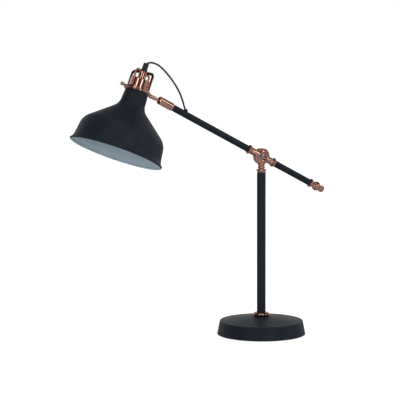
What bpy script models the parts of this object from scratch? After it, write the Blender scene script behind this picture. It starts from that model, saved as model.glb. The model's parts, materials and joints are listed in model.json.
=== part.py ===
"""Swing arm desk lamp: weighted base, pole, balanced arm, cage-topped enamel shade.

The lamp stands on the XY plane with its pole on the Z axis. The arm lies in the XZ plane, with the
shade towards -X and the counter arm towards +X. All sizes are in metres.

A chain of empties carries the moving groups: neck_pivot turns about the pole, arm_pivot tilts the
arm, boom_pivot twists the front tube about its own axis, and head_pivot tilts the shade.
"""

import math

import bmesh
import bpy
from mathutils import Matrix, Vector

# ---------------------------------------------------------------- clearances
SEAT_GAP = 0.0003       # between two pieces that rest on each other
RUN_GAP = 0.0003        # all round a piece that turns in, or slides into, another

# ---------------------------------------------------------------- base
BASE_RADIUS = 0.090
BASE_TAPER = 0.0050
BASE_TOP_RADIUS = BASE_RADIUS - BASE_TAPER
BASE_SIDE_HEIGHT = 0.0280
BASE_FILLET = 0.0035
BASE_DOME_RISE = 0.0103
BASE_DOME_POWER = 1.3
BASE_DOME_SHARES = (0.8, 0.6, 0.4, 0.22)
BASE_WALL = 0.0012
PAD_THICKNESS = 0.0020
SHELL_LIFT = 0.0006
PLATE_THICKNESS = 0.0015
PLATE_INSET = 0.0020
WEIGHT_INSET = 0.0090
WEIGHT_THICKNESS = 0.0130
WEIGHT_BOSS_RADIUS = 0.020
STANDOFF_RADIUS = 0.0065
STANDOFF_INSET = 0.0350
STANDOFF_CIRCLE = BASE_RADIUS - STANDOFF_INSET
STANDOFF_COUNT = 3
PLATE_SCREW_RADIUS = 0.0016
PLATE_SCREW_HEAD = 0.0032
PLATE_SCREW_DEPTH = 0.0080
PLATE_SINK_ROOM = 0.00045
GLAND_HEIGHT = 0.0125
GLAND_BORE_RADIUS = 0.0032
GLAND_WALL = 0.0013
GLAND_RADIUS = GLAND_BORE_RADIUS + GLAND_WALL
GLAND_FLANGE_LAP = 0.0023
GLAND_FLANGE_RADIUS = GLAND_RADIUS + GLAND_FLANGE_LAP
GLAND_FLANGE = 0.0022
GLAND_LENGTH = 0.0150

# ---------------------------------------------------------------- foot fixing
NIPPLE_RADIUS = 0.0050
NIPPLE_WALL = 0.0016
NIPPLE_BORE_RADIUS = NIPPLE_RADIUS - NIPPLE_WALL
NIPPLE_ABOVE_BASE = 0.0140
NUT_HEIGHT = 0.0040
NUT_ACROSS_FLATS = 2 * NIPPLE_RADIUS + 0.0060
WASHER_RADIUS = NIPPLE_RADIUS + 0.0065
WASHER_THICKNESS = 0.0013

# ---------------------------------------------------------------- knuckle
ARM_RADIUS = 0.00665
TUBE_WALL = 0.0012
STEM_STEP = 0.00065
STEM_RADIUS = ARM_RADIUS + STEM_STEP
STEM_WAIST = 0.0009
STEM_ROOT_SHARE = 0.62
STEM_SEAT_RIM = 0.0012
STEM_SEAT_SLOPE = 0.0015
STEM_WAIST_AT = 0.0053
STEM_WAIST_HALF = 0.0007
STEM_WAIST_RUN = 0.0015
KNUCKLE_RADIUS = 0.0163
KNUCKLE_SET_IN = 0.0003
KNUCKLE_HALF_DEPTH = STEM_RADIUS - KNUCKLE_SET_IN
KNUCKLE_SPLIT = 0.0008
KNUCKLE_SWEEP_GAP = 0.0006
KNUCKLE_SWEEP_DEPTH = 0.0004
KNUCKLE_CHAMFER = 0.0009
KNUCKLE_CROWN = 0.0003
GROOVE_INSET = 0.0031
GROOVE_WIDTH = 0.0022
GROOVE_OUTER = KNUCKLE_RADIUS - GROOVE_INSET
GROOVE_INNER = GROOVE_OUTER - GROOVE_WIDTH
GROOVE_SLOPE = 0.0004
GROOVE_DEPTH = 0.0013
GROOVE_LIP = 0.0002
PIVOT_SCREW_RADIUS = 0.0025
PIVOT_HEAD_LAP = 0.0027
PIVOT_HEAD_RADIUS = PIVOT_SCREW_RADIUS + PIVOT_HEAD_LAP
PIVOT_HEAD_HEIGHT = 0.0024
PIVOT_HEAD_CHAMFER = 0.0008
PIVOT_DRIVE_RADIUS = 0.0016
PIVOT_DRIVE_DEPTH = 0.0012
PIVOT_SCREW_END = 0.0002
PIVOT_NUT_HEIGHT = 0.0020
PIVOT_NUT_SHARE = 1.9
SPRING_WASHER_THICKNESS = 0.0007
RECESS_ROOM = 0.0028
RECESS_RADIUS = PIVOT_HEAD_RADIUS + RECESS_ROOM
RECESS_DEPTH = 0.0034
FRICTION_WASHER_SHARE = 0.8

# ---------------------------------------------------------------- pole and neck
POLE_RADIUS = 0.0090
PIVOT_HEIGHT = 0.3640
NECK_LENGTH = 0.0164
POLE_TOP = PIVOT_HEIGHT - KNUCKLE_RADIUS - NECK_LENGTH
BEAD_HEIGHT = 0.0068
BEAD_LIP = 0.0008
POLE_BEAD_SWELL = 0.0014
POLE_BEAD_RADIUS = POLE_RADIUS + POLE_BEAD_SWELL
POLE_BEAD_STEP = 0.0004
SPIGOT_LENGTH = 0.0130
NECK_WALL = 0.0031
SPINDLE_RADIUS = POLE_RADIUS - TUBE_WALL - RUN_GAP - NECK_WALL
THREAD_STEP = 0.0008
NECK_THREAD_RADIUS = SPINDLE_RADIUS - THREAD_STEP
NECK_THREAD_WALL = 0.0014
NECK_BORE_RADIUS = NECK_THREAD_RADIUS - NECK_THREAD_WALL
STEM_BORE_START = 0.0130
NECK_WASHER_ROOM = 0.0004

# ---------------------------------------------------------------- collar
COLLAR_LAP = 0.0078
COLLAR_RADIUS = POLE_RADIUS + COLLAR_LAP
COLLAR_HEIGHT = 0.0070
COLLAR_WIDEST = 0.0026
COLLAR_FOOT_INSET = 0.0018
COLLAR_FOOT_RADIUS = COLLAR_RADIUS - COLLAR_FOOT_INSET
COLLAR_FLOOR = 0.0018
COLLAR_EDGE = 0.0006
COLLAR_EDGE_SHARE = 0.4
COLLAR_CROWN_SHARE = 0.8

# ---------------------------------------------------------------- arm
ARM_SLOPE = math.radians(25.7)
ARM_BEAD_SWELL = 0.00305
ARM_BEAD_RADIUS = ARM_RADIUS + ARM_BEAD_SWELL
ARM_BEAD_STEP = 0.0006
FRONT_STEM_LENGTH = 0.0145
REAR_STEM_LENGTH = 0.0127
FRONT_BEAD_START = KNUCKLE_RADIUS + FRONT_STEM_LENGTH
REAR_BEAD_START = KNUCKLE_RADIUS + REAR_STEM_LENGTH
ARM_BEAD_LENGTH = 0.0058
ARM_SPIGOT_REACH = 0.0150
ARM_SPIGOT_STEP = 0.0004
BUSH_WALL = 0.00075
BUSH_LENGTH = 0.0120
BOOM_SPINDLE_RADIUS = ARM_RADIUS - TUBE_WALL - 2 * RUN_GAP - BUSH_WALL
BOOM_THREAD_STEP = 0.0009
BOOM_THREAD_RADIUS = BOOM_SPINDLE_RADIUS - BOOM_THREAD_STEP
BOOM_THREAD_WALL = 0.0012
ARM_BORE_RADIUS = BOOM_THREAD_RADIUS - BOOM_THREAD_WALL
REAR_TUBE_END = 0.1352
END_RING_LENGTH = 0.0060
END_RING_SWELL = 0.00255
END_RING_RADIUS = ARM_RADIUS + END_RING_SWELL
END_RING_STEP = 0.0004
STUD_WALL = 0.00185
STUD_RADIUS = ARM_RADIUS - TUBE_WALL - 2 * RUN_GAP - STUD_WALL
FINIAL_BALL_RADIUS = 0.0096
FINIAL_BALL_FROM_TUBE = 0.0104
FINIAL_BALL_AT = REAR_TUBE_END + FINIAL_BALL_FROM_TUBE + FINIAL_BALL_RADIUS
FINIAL_NECK_RADIUS = 0.0064
FINIAL_NECK_STEP = 0.0006
FINIAL_KNOB_RADIUS = 0.0070
FINIAL_KNOB_GAP = 0.0020
FINIAL_KNOB_LENGTH = 0.0069
FINIAL_TIP_CURVE = 0.0022
FINIAL_KNOB_LOW = FINIAL_BALL_AT + FINIAL_BALL_RADIUS + FINIAL_KNOB_GAP
FINIAL_END = FINIAL_KNOB_LOW + FINIAL_KNOB_LENGTH

# ---------------------------------------------------------------- head cord
CORD_RADIUS = 0.0018
CORD_ROOM = 0.0005
CORD_HOLE_RADIUS = CORD_RADIUS + CORD_ROOM
CORD_SPACING = 0.0040
CORD_FINENESS = 10
CORD_ROUTE = (
    (-0.2718, 0.5435), (-0.2706, 0.5464), (-0.2690, 0.5489), (-0.2664, 0.5507), (-0.2630, 0.5516),
    (-0.2569, 0.5518), (-0.2498, 0.5501), (-0.2414, 0.5463), (-0.2332, 0.5405), (-0.2253, 0.5333),
    (-0.2179, 0.5256), (-0.2109, 0.5175), (-0.2046, 0.5093), (-0.1989, 0.5010), (-0.1942, 0.4931),
    (-0.1905, 0.4850), (-0.1874, 0.4767), (-0.1846, 0.4682), (-0.1819, 0.4608), (-0.1797, 0.4550),
)

# ---------------------------------------------------------------- boom, barrel and ball joint
BARREL_START = 0.2354
BALL_RADIUS = 0.0055
BALL_NECK_RADIUS = 0.0026
BALL_SWING = math.radians(20)
BALL_THROAT_DEPTH = 0.00175
SOCKET_ROOM = 0.0005
SOCKET_BORE_RADIUS = BALL_RADIUS + SOCKET_ROOM
BARREL_WALL = 0.0020
BARREL_RADIUS = SOCKET_BORE_RADIUS + BARREL_WALL
BARREL_CHAMFER = 0.0008
SOCKET_FLOOR = 0.0070
SPRING_ROOM = 0.0141
BALL_AT = BARREL_START + SPRING_ROOM + 2 * BALL_RADIUS
NOSE_LIP = 0.0028
BARREL_END = BALL_AT + BALL_RADIUS + NOSE_LIP
NOSE_LENGTH = 0.0095
NOSE_THREAD_DEPTH = 0.0009
NOSE_THREAD_LENGTH = 0.0036
NOSE_TAPER = 0.0016
NOSE_MOUTH_RIM = 0.0004
SEAT_CUP_START = -27.5
SEAT_CUP_END = -84
SPRING_WIRE_RADIUS = 0.00055
SPRING_TURNS = 3
SPRING_STEPS = 10
GROMMET_FROM_BARREL = 0.0315
GROMMET_AT = BARREL_START - GROMMET_FROM_BARREL
GROMMET_LEAN = math.radians(46.3)
GROMMET_WALL = 0.0008
GROMMET_RADIUS = CORD_HOLE_RADIUS + GROMMET_WALL
GROMMET_LAP = 0.0013
GROMMET_DOME_RADIUS = GROMMET_RADIUS + GROMMET_LAP
GROMMET_DOME_TURN = 60
GROMMET_SLEEVE_LOW = -0.0040
GROMMET_SLEEVE_HIGH = 0.0034
GROMMET_HOLE_LOW = -0.0070
GROMMET_REACH = 0.0100

# ---------------------------------------------------------------- lampholder, cup and hoop
SHELL_SCREW_RADIUS = 0.0141
SHELL_SCREW_LENGTH = 0.0190
SHELL_SCREW_PITCH = 0.0036
SHELL_SCREW_DEPTH = 0.0008
SHELL_SCREW_WALL = 0.0005
SHELL_SET_BACK = 0.0015
CONTACT_PROFILE = ((0.0034, 0), (0.0065, 0), (0.0040, 0.0031), (0, 0.0037), (0, 0.0031),
                   (0.0034, 0.0025))
HOLDER_WALL = 0.0029
HOLDER_RADIUS = SHELL_SCREW_RADIUS + HOLDER_WALL
HOLDER_ROOF = 0.0060
HOLDER_BORE_RADIUS = 0.0030
HOLDER_CHAMFER = 0.0015
HOLDER_SET_BACK = 0.0012
HEAD_NIPPLE_RADIUS = 0.0050
HEAD_NIPPLE_INTO_CUP = 0.0060
HEAD_NIPPLE_INTO_GRIP = 0.0050
HEAD_NUT_HEIGHT = 0.0030
HEAD_NUT_SHARE = 0.9
CUP_WALL = 0.0012
CUP_ROOM = 0.0008
CUP_RADIUS = HOLDER_RADIUS + CUP_ROOM + CUP_WALL
CUP_HEIGHT = SHELL_SCREW_LENGTH + 0.0032
CUP_FILLET = 0.0022
CUP_BEAD_SWELL = 0.0025
CUP_BEAD_RADIUS = CUP_RADIUS + CUP_BEAD_SWELL
CUP_BEAD_HEIGHT = 0.0018
CUP_THREAD_LENGTH = 0.0086
HOOP_WALL = 0.0034
HOOP_ROOM = 0.0023
HOOP_RADIUS = CUP_BEAD_RADIUS + HOOP_ROOM + HOOP_WALL
HOOP_HEIGHT = 0.0054
HOOP_BELLY = 0.0016
HOOP_EDGE = 0.0004
HOOP_BOSS_NECK = 0.0025
HOOP_BOSS_LENGTH = 0.0036
HOOP_BOSS_FLARE_AT = 0.0006
CLAMP_SCREW_RADIUS = 0.0014
CLAMP_SCREW_BITE = 0.0070
CLAMP_HEAD_INNER = 0.0026
CLAMP_HEAD_OUTER = 0.0030
CLAMP_HEAD_HEIGHT = 0.0016
BALL_NUT_RADIUS = 0.0036
BALL_NUT_STEM = 0.0044
BALL_NUT_STEM_RADIUS = 0.0022
BALL_SCREW_SHOW = 0.0006
CAGE_INSET = 0.0026
CAGE_RADIUS = HOOP_RADIUS - CAGE_INSET
CAGE_ABOVE_CUP = 0.0120
CAGE_HEIGHT = CUP_HEIGHT + CAGE_ABOVE_CUP
CAGE_STRAP_WIDTH = 0.0055
CAGE_STRAP_THICKNESS = 0.0013
CAGE_CORNER = 0.0065
CAGE_TURN = math.radians(26)
CAGE_HUB_LAP = 0.0032
CAGE_HUB_RADIUS = HEAD_NIPPLE_RADIUS + CAGE_HUB_LAP
CAGE_HUB_RAISE = 0.0002
HOLDER_NECK_WALL = 0.0027
HOLDER_NECK_RADIUS = HEAD_NIPPLE_RADIUS + HOLDER_NECK_WALL
SMALL_EDGE = 0.0006
GRIP_LENGTH = 0.01735
GRIP_FLARE = 0.0020
GRIP_MOUTH_RADIUS = CORD_HOLE_RADIUS + GRIP_FLARE
GRIP_MOUTH_DEPTH = 0.0058
GRIP_RIM = 0.0010
GRIP_RADIUS = GRIP_MOUTH_RADIUS + GRIP_RIM
GRIP_FOOT_WALL = 0.0015
GRIP_FOOT_SLOPE = 0.0006
GRIP_FOOT_RISE = 0.0004
SHADE_RING_WIDTH = 0.0018
SHADE_RING_RADIUS = CUP_RADIUS + SHADE_RING_WIDTH
SHADE_RING_HEIGHT = 0.0045

# ---------------------------------------------------------------- head
HEAD_TILT = math.radians(22.2)
ROD_RADIUS = 0.00385
ROD_SHOULDER = 0.0146
ROD_SHOULDER_LOW = 0.0006
ROD_SHOULDER_HIGH = 0.0004
ROD_LENGTH = 0.0285
ROD_HOLE_RADIUS = CLAMP_SCREW_RADIUS + RUN_GAP
ROD_HOLE_DEPTH = 0.0090
HEAD_AXIS_REACH = ROD_LENGTH + SEAT_GAP + HOOP_BOSS_LENGTH + HOOP_RADIUS

# ---------------------------------------------------------------- shade outline, down from the hoop
SHADE_DEPTH = 0.1292
SHADE_MOUTH_RADIUS = 0.0921
SHADE_RIM_BEAD = 0.0021
SHADE_WALL = 0.0008
SHADE_FLANGE = 0.0036
SHADE_TOP_RADIUS = CUP_RADIUS + SHADE_FLANGE
SHADE_TOP_CURVE = 0.0016
SHADE_TOP_CURVE_INSIDE = 0.0006
SHADE_NECK_AT = 0.0348
SHADE_NECK_FLARE = 0.0024
SHADE_NECK_RADIUS = SHADE_TOP_RADIUS + SHADE_NECK_FLARE
SHADE_SHOULDER_ABOVE_MOUTH = 0.0463
SHADE_SHOULDER_AT = SHADE_DEPTH - SHADE_SHOULDER_ABOVE_MOUTH
SHADE_SHOULDER_INSET = 0.0100
SHADE_SHOULDER_RADIUS = SHADE_MOUTH_RADIUS - SHADE_SHOULDER_INSET
SHADE_SKIRT_ABOVE_MOUTH = 0.0102
SHADE_SKIRT_AT = SHADE_DEPTH - SHADE_SKIRT_ABOVE_MOUTH
SHADE_SKIRT_INSET = 0.0051
SHADE_SKIRT_RADIUS = SHADE_MOUTH_RADIUS - SHADE_SKIRT_INSET
SHADE_NECK_CURVE = 0.024
SHADE_SHOULDER_CURVE = 0.032
SHADE_SKIRT_CURVE = 0.030

# ---------------------------------------------------------------- roundness
LARGE_SIDES = 32
MEDIUM_SIDES = 18
SMALL_SIDES = 12
TINY_SIDES = 8
SHARP_ANGLE = math.radians(32)
MERGE = 0.000001
OVERSHOOT = 0.002

FINISHES = {
    "black_paint": ((0.020, 0.023, 0.027), 0.0, 0.45),
    "copper_plate": ((0.72, 0.36, 0.28), 1.0, 0.18),
    "zinc_steel": ((0.45, 0.46, 0.47), 1.0, 0.35),
    "cast_iron": ((0.10, 0.10, 0.11), 0.6, 0.60),
    "black_rubber": ((0.015, 0.015, 0.016), 0.0, 0.75),
    "phenolic": ((0.020, 0.018, 0.017), 0.0, 0.30),
    "yellow_brass": ((0.72, 0.53, 0.24), 1.0, 0.25),
    "nylon": ((0.78, 0.77, 0.72), 0.0, 0.45),
    "fibre": ((0.32, 0.12, 0.08), 0.0, 0.65),
}


# ================================================================ tools
def finish(piece, finish_name):
    """Give a piece its own material in one of the named finishes."""
    colour, metallic, roughness = FINISHES[finish_name]
    material = bpy.data.materials.new(piece.name + "_" + finish_name)
    material.use_nodes = True
    shader = material.node_tree.nodes["Principled BSDF"]
    shader.inputs["Base Color"].default_value = (*colour, 1.0)
    shader.inputs["Metallic"].default_value = metallic
    shader.inputs["Roughness"].default_value = roughness
    material.diffuse_color = (*colour, 1.0)
    piece.data.materials.append(material)


def pivot(name, parent, place):
    """Add an empty that carries a group of pieces."""
    empty = bpy.data.objects.new(name, None)
    empty.empty_display_size = 0.02
    bpy.context.collection.objects.link(empty)
    empty.parent = parent
    empty.matrix_local = place
    return empty


def add_mesh(name, bm, finish_name, parent, place):
    """Turn a bmesh into a placed object; with no finish it is a cutter or a joining shape."""
    bmesh.ops.recalc_face_normals(bm, faces=bm.faces)
    mesh = bpy.data.meshes.new(name)
    bm.to_mesh(mesh)
    bm.free()
    mesh.shade_smooth()
    mesh.set_sharp_from_angle(angle=SHARP_ANGLE)
    piece = bpy.data.objects.new(name, mesh)
    bpy.context.collection.objects.link(piece)
    piece.parent = parent
    piece.matrix_local = place
    if finish_name is None:
        piece.hide_render = True
        piece.display_type = "WIRE"
    else:
        finish(piece, finish_name)
    return piece


def turned(name, profile, finish_name, parent, place=Matrix(), sides=MEDIUM_SIDES):
    """Turn a closed half section of (radius, height) points about local Z."""
    bm = bmesh.new()
    verts = [bm.verts.new((radius, 0, height)) for radius, height in profile]
    edges = [bm.edges.new(pair) for pair in zip(verts, verts[1:])]
    if profile[0][0] > 0 or profile[-1][0] > 0:
        edges.append(bm.edges.new((verts[-1], verts[0])))
    bmesh.ops.spin(bm, geom=verts + edges, cent=(0, 0, 0), axis=(0, 0, 1),
                   angle=math.tau, steps=sides, use_merge=True)
    bmesh.ops.remove_doubles(bm, verts=bm.verts, dist=MERGE)
    return add_mesh(name, bm, finish_name, parent, place)


def extruded(name, outline, depth, finish_name, parent, place=Matrix()):
    """Extrude a closed (x, y) outline along local Z, centred on z = 0."""
    bm = bmesh.new()
    face = bm.faces.new([bm.verts.new((x, y, -depth / 2)) for x, y in outline])
    sweep = bmesh.ops.extrude_face_region(bm, geom=[face])
    moved = [part for part in sweep["geom"] if isinstance(part, bmesh.types.BMVert)]
    bmesh.ops.translate(bm, verts=moved, vec=(0, 0, depth))
    return add_mesh(name, bm, finish_name, parent, place)


def combine(piece, tool, operation):
    """Join a shape to a piece, or cut it out of the piece, with an exact Boolean."""
    step = piece.modifiers.new(tool.name, "BOOLEAN")
    step.operation = operation
    step.solver = "EXACT"
    step.object = tool


def cut(piece, *tools):
    """Cut each of the tools out of a piece."""
    for tool in tools:
        combine(piece, tool, "DIFFERENCE")


def join(piece, *tools):
    """Join each of the tools to a piece."""
    for tool in tools:
        combine(piece, tool, "UNION")


def ring(inner, outer, low, high):
    """Half section of a plain ring, or of a disc where inner is 0."""
    return [(inner, low), (outer, low), (outer, high), (inner, high)]


def arc(centre_radius, centre_height, radius, start, end, steps):
    """Points of an arc in a half section, from one angle in degrees to another."""
    turns = [math.radians(start + (end - start) * step / steps) for step in range(steps + 1)]
    return [(centre_radius + radius * math.cos(turn), centre_height + radius * math.sin(turn))
            for turn in turns]


def rounded(corners, steps=6):
    """Outline through (x, y, fillet) corners, each rounded to its own fillet radius."""
    points = []
    for index, (x, y, fillet) in enumerate(corners):
        here = Vector((x, y))
        if fillet == 0 or index in (0, len(corners) - 1):
            points.append((x, y))
            continue
        before = (Vector(corners[index - 1][:2]) - here).normalized()
        after = (Vector(corners[index + 1][:2]) - here).normalized()
        half = before.angle(after) / 2
        centre = here + (before + after).normalized() * fillet / math.sin(half)
        start = here + before * fillet / math.tan(half) - centre
        sweep = start.angle_signed(here + after * fillet / math.tan(half) - centre)
        for step in range(steps + 1):
            spoke = start.copy()
            spoke.rotate(Matrix.Rotation(-sweep * step / steps, 2))
            points.append(tuple(centre + spoke))
    return points


def bead(bore, radius, foot, low, length, steps=4):
    """Half section of a bead ring: a rounded belly between two short lips."""
    high = low + length
    middle = (low + high) / 2
    belly = length / 2 - BEAD_LIP
    swell = radius - foot
    turns = [math.pi * (step / steps - 0.5) for step in range(steps + 1)]
    curve = [(foot + swell * math.cos(turn), middle + belly * math.sin(turn)) for turn in turns]
    return [(bore, low), (foot, low), *curve, (foot, high), (bore, high)]


def hexagon(across_flats):
    """Corners of a hexagon, by its size across the flats."""
    corner = across_flats / 2 / math.cos(math.pi / 6)
    return [(corner * math.cos(math.pi / 3 * side), corner * math.sin(math.pi / 3 * side))
            for side in range(6)]


def nut(name, across_flats, bore, low, height, finish_name, parent, place=Matrix()):
    """Hexagon nut with a plain bore, standing on low."""
    body = extruded(name, hexagon(across_flats), height, finish_name, parent,
                    place @ Matrix.Translation((0, 0, low + height / 2)))
    reach = height / 2 + OVERSHOOT
    hole = turned(name + "_hole", ring(0, bore, -reach, reach), None, parent,
                  place @ Matrix.Translation((0, 0, low + height / 2)), SMALL_SIDES)
    cut(body, hole)
    return body


def aimed(origin, direction):
    """Matrix that stands local Z along a direction in the XZ plane, with local Y kept."""
    z_axis = Vector(direction).normalized()
    y_axis = Vector((0, 1, 0))
    x_axis = y_axis.cross(z_axis)
    turn = Matrix((x_axis, y_axis, z_axis)).transposed().to_4x4()
    return Matrix.Translation(origin) @ turn


def smooth_route(points, spacing):
    """Even points along a Catmull-Rom curve through the route."""
    knots = [Vector(point) for point in points]
    knots = [2 * knots[0] - knots[1], *knots, 2 * knots[-1] - knots[-2]]
    fine = []
    for k in range(1, len(knots) - 2):
        before, start, end, after = knots[k - 1:k + 3]
        for step in range(CORD_FINENESS):
            t = step / CORD_FINENESS
            fine.append(0.5 * (2 * start + (end - before) * t
                               + (2 * before - 5 * start + 4 * end - after) * t ** 2
                               + (3 * start - before - 3 * end + after) * t ** 3))
    fine.append(knots[-2])
    route = [fine[0]]
    for point in fine[1:-1]:
        far_enough = (point - route[-1]).length >= spacing
        if far_enough and (point - fine[-1]).length >= spacing / 2:
            route.append(point)
    return [*route, fine[-1]]


def tube_along(name, route, radius, finish_name, parent, place=Matrix(), resolution=2):
    """Round tube with filled ends that follows a list of points."""
    curve = bpy.data.curves.new(name, "CURVE")
    curve.dimensions = "3D"
    curve.bevel_depth = radius
    curve.bevel_resolution = resolution
    curve.use_fill_caps = True
    spline = curve.splines.new("POLY")
    spline.points.add(len(route) - 1)
    for point, place_on_route in zip(spline.points, route):
        point.co = (*place_on_route, 1.0)
    tube = bpy.data.objects.new(name, curve)
    bpy.context.collection.objects.link(tube)
    tube.parent = parent
    tube.matrix_local = place
    finish(tube, finish_name)
    return tube


# ================================================================ base
def dome_height(radius):
    """Height of the base's outer skin above the table, at a radius from the pole."""
    top_radius = BASE_TOP_RADIUS - BASE_FILLET
    fall = BASE_DOME_RISE * (radius / top_radius) ** BASE_DOME_POWER
    return BASE_SIDE_HEIGHT + BASE_DOME_RISE - fall


def side_radius(height):
    """Radius of the base's outer skin at a height on its tapered side."""
    taper = (BASE_RADIUS - BASE_TOP_RADIUS) / BASE_SIDE_HEIGHT
    return BASE_RADIUS - taper * (height - SHELL_LIFT)


def build_base(stand):
    """Weighted base: pressed shell, iron weight, bottom plate with its screws, pad and gland."""
    dome_radii = [BASE_TOP_RADIUS * share for share in BASE_DOME_SHARES]
    hole = NIPPLE_RADIUS + RUN_GAP
    outer = [(BASE_RADIUS, SHELL_LIFT, 0), (BASE_TOP_RADIUS, BASE_SIDE_HEIGHT, BASE_FILLET),
             (dome_radii[0], dome_height(dome_radii[0]), 0)]
    outside = rounded(outer, 4)
    outside += [(radius, dome_height(radius)) for radius in dome_radii[1:]]
    outside.append((hole, dome_height(hole)))
    inside = [(hole, dome_height(hole) - BASE_WALL)]
    inside += [(radius, dome_height(radius) - BASE_WALL) for radius in reversed(dome_radii)]
    inside_corner = BASE_SIDE_HEIGHT - BASE_WALL
    inside.append((side_radius(inside_corner) - 2 * BASE_WALL, inside_corner))
    inside.append((side_radius(inside_corner) - BASE_WALL, inside_corner - BASE_WALL))
    inside.append((BASE_RADIUS - BASE_WALL, SHELL_LIFT))
    shell = turned("base_shell", outside + inside, "black_paint", stand, sides=LARGE_SIDES)

    pad_radius = BASE_RADIUS - BASE_WALL - PLATE_INSET
    turned("foot_pad", ring(0, pad_radius, 0, PAD_THICKNESS), "black_rubber", stand,
           sides=LARGE_SIDES)

    plate_low = PAD_THICKNESS + SEAT_GAP
    plate_high = plate_low + PLATE_THICKNESS
    plate = turned("base_plate", ring(0, pad_radius, plate_low, plate_high), "zinc_steel",
                   stand, sides=LARGE_SIDES)

    weight_top = BASE_SIDE_HEIGHT - BASE_WALL - SEAT_GAP
    weight_low = weight_top - WEIGHT_THICKNESS
    weight_radius = BASE_RADIUS - WEIGHT_INSET
    boss_top = dome_height(WEIGHT_BOSS_RADIUS) - BASE_WALL - SEAT_GAP
    weight_profile = [(hole, weight_low), (weight_radius, weight_low),
                      (weight_radius, weight_top - BASE_WALL),
                      (weight_radius - BASE_FILLET, weight_top),
                      (WEIGHT_BOSS_RADIUS, weight_top), (WEIGHT_BOSS_RADIUS, boss_top),
                      (hole, boss_top)]
    weight = turned("base_weight", weight_profile, "cast_iron", stand, sides=LARGE_SIDES)

    standoff_low = plate_high + SEAT_GAP
    screw_top = plate_high + PLATE_SCREW_DEPTH
    for index in range(STANDOFF_COUNT):
        turn = math.tau * (index + 0.25) / STANDOFF_COUNT
        spot = Matrix.Translation((STANDOFF_CIRCLE * math.cos(turn),
                                   STANDOFF_CIRCLE * math.sin(turn), 0))
        number = str(index + 1)
        join(weight, turned("standoff_" + number,
                            ring(0, STANDOFF_RADIUS, standoff_low, weight_low + OVERSHOOT),
                            None, stand, spot, SMALL_SIDES))
        cut(weight, turned("standoff_hole_" + number,
                           ring(0, PLATE_SCREW_RADIUS + RUN_GAP, plate_low,
                                screw_top + SEAT_GAP), None, stand, spot, TINY_SIDES))
        shank = PLATE_SCREW_RADIUS
        head = PLATE_SCREW_HEAD
        sunk = head - shank
        low = plate_low
        screw = [(0, low), (head, low), (shank, low + sunk), (shank, screw_top), (0, screw_top)]
        turned("plate_screw_" + number, screw, "zinc_steel", stand, spot, TINY_SIDES)
        room = shank + PLATE_SINK_ROOM
        sink = [(0, low - OVERSHOOT), (room + sunk + OVERSHOOT, low - OVERSHOOT),
                (room, low + sunk), (room, plate_high + SEAT_GAP / 2),
                (0, plate_high + SEAT_GAP / 2)]
        cut(plate, turned("plate_sink_" + number, sink, None, stand, spot, TINY_SIDES))

    lean = math.atan2(BASE_RADIUS - BASE_TOP_RADIUS, BASE_SIDE_HEIGHT)
    gland_spot = Matrix.Translation((0, side_radius(GLAND_HEIGHT), GLAND_HEIGHT)) @ \
        Matrix.Rotation(lean - math.pi / 2, 4, "X")
    gland = [(GLAND_BORE_RADIUS, -GLAND_LENGTH), (GLAND_RADIUS, -GLAND_LENGTH),
             (GLAND_RADIUS, SEAT_GAP), (GLAND_FLANGE_RADIUS, SEAT_GAP),
             (GLAND_FLANGE_RADIUS, SEAT_GAP + GLAND_FLANGE / 2),
             (GLAND_RADIUS, SEAT_GAP + GLAND_FLANGE),
             (GLAND_BORE_RADIUS, SEAT_GAP + GLAND_FLANGE)]
    turned("cord_gland", gland, "black_rubber", stand, gland_spot, SMALL_SIDES)
    cut(shell, turned("gland_hole", ring(0, GLAND_RADIUS + RUN_GAP, -2 * GLAND_RADIUS,
                                         GLAND_RADIUS), None, stand, gland_spot, SMALL_SIDES))
    nut_low = BASE_WALL + 3 * SEAT_GAP
    nut("gland_nut", 2 * GLAND_FLANGE_RADIUS, GLAND_RADIUS + RUN_GAP, -nut_low - NUT_HEIGHT,
        NUT_HEIGHT, "phenolic", stand, gland_spot)
    channel_half = GLAND_FLANGE_RADIUS / math.cos(math.pi / 6) + 2 * SEAT_GAP
    channel = extruded("cord_channel", [(-channel_half, 0), (channel_half, 0),
                                        (channel_half, BASE_RADIUS), (-channel_half, BASE_RADIUS)],
                       2 * (GLAND_HEIGHT + channel_half - weight_low), None, stand,
                       Matrix.Translation((0, 0, weight_low)))
    cut(weight, channel)
    return weight_low, hole


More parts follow.
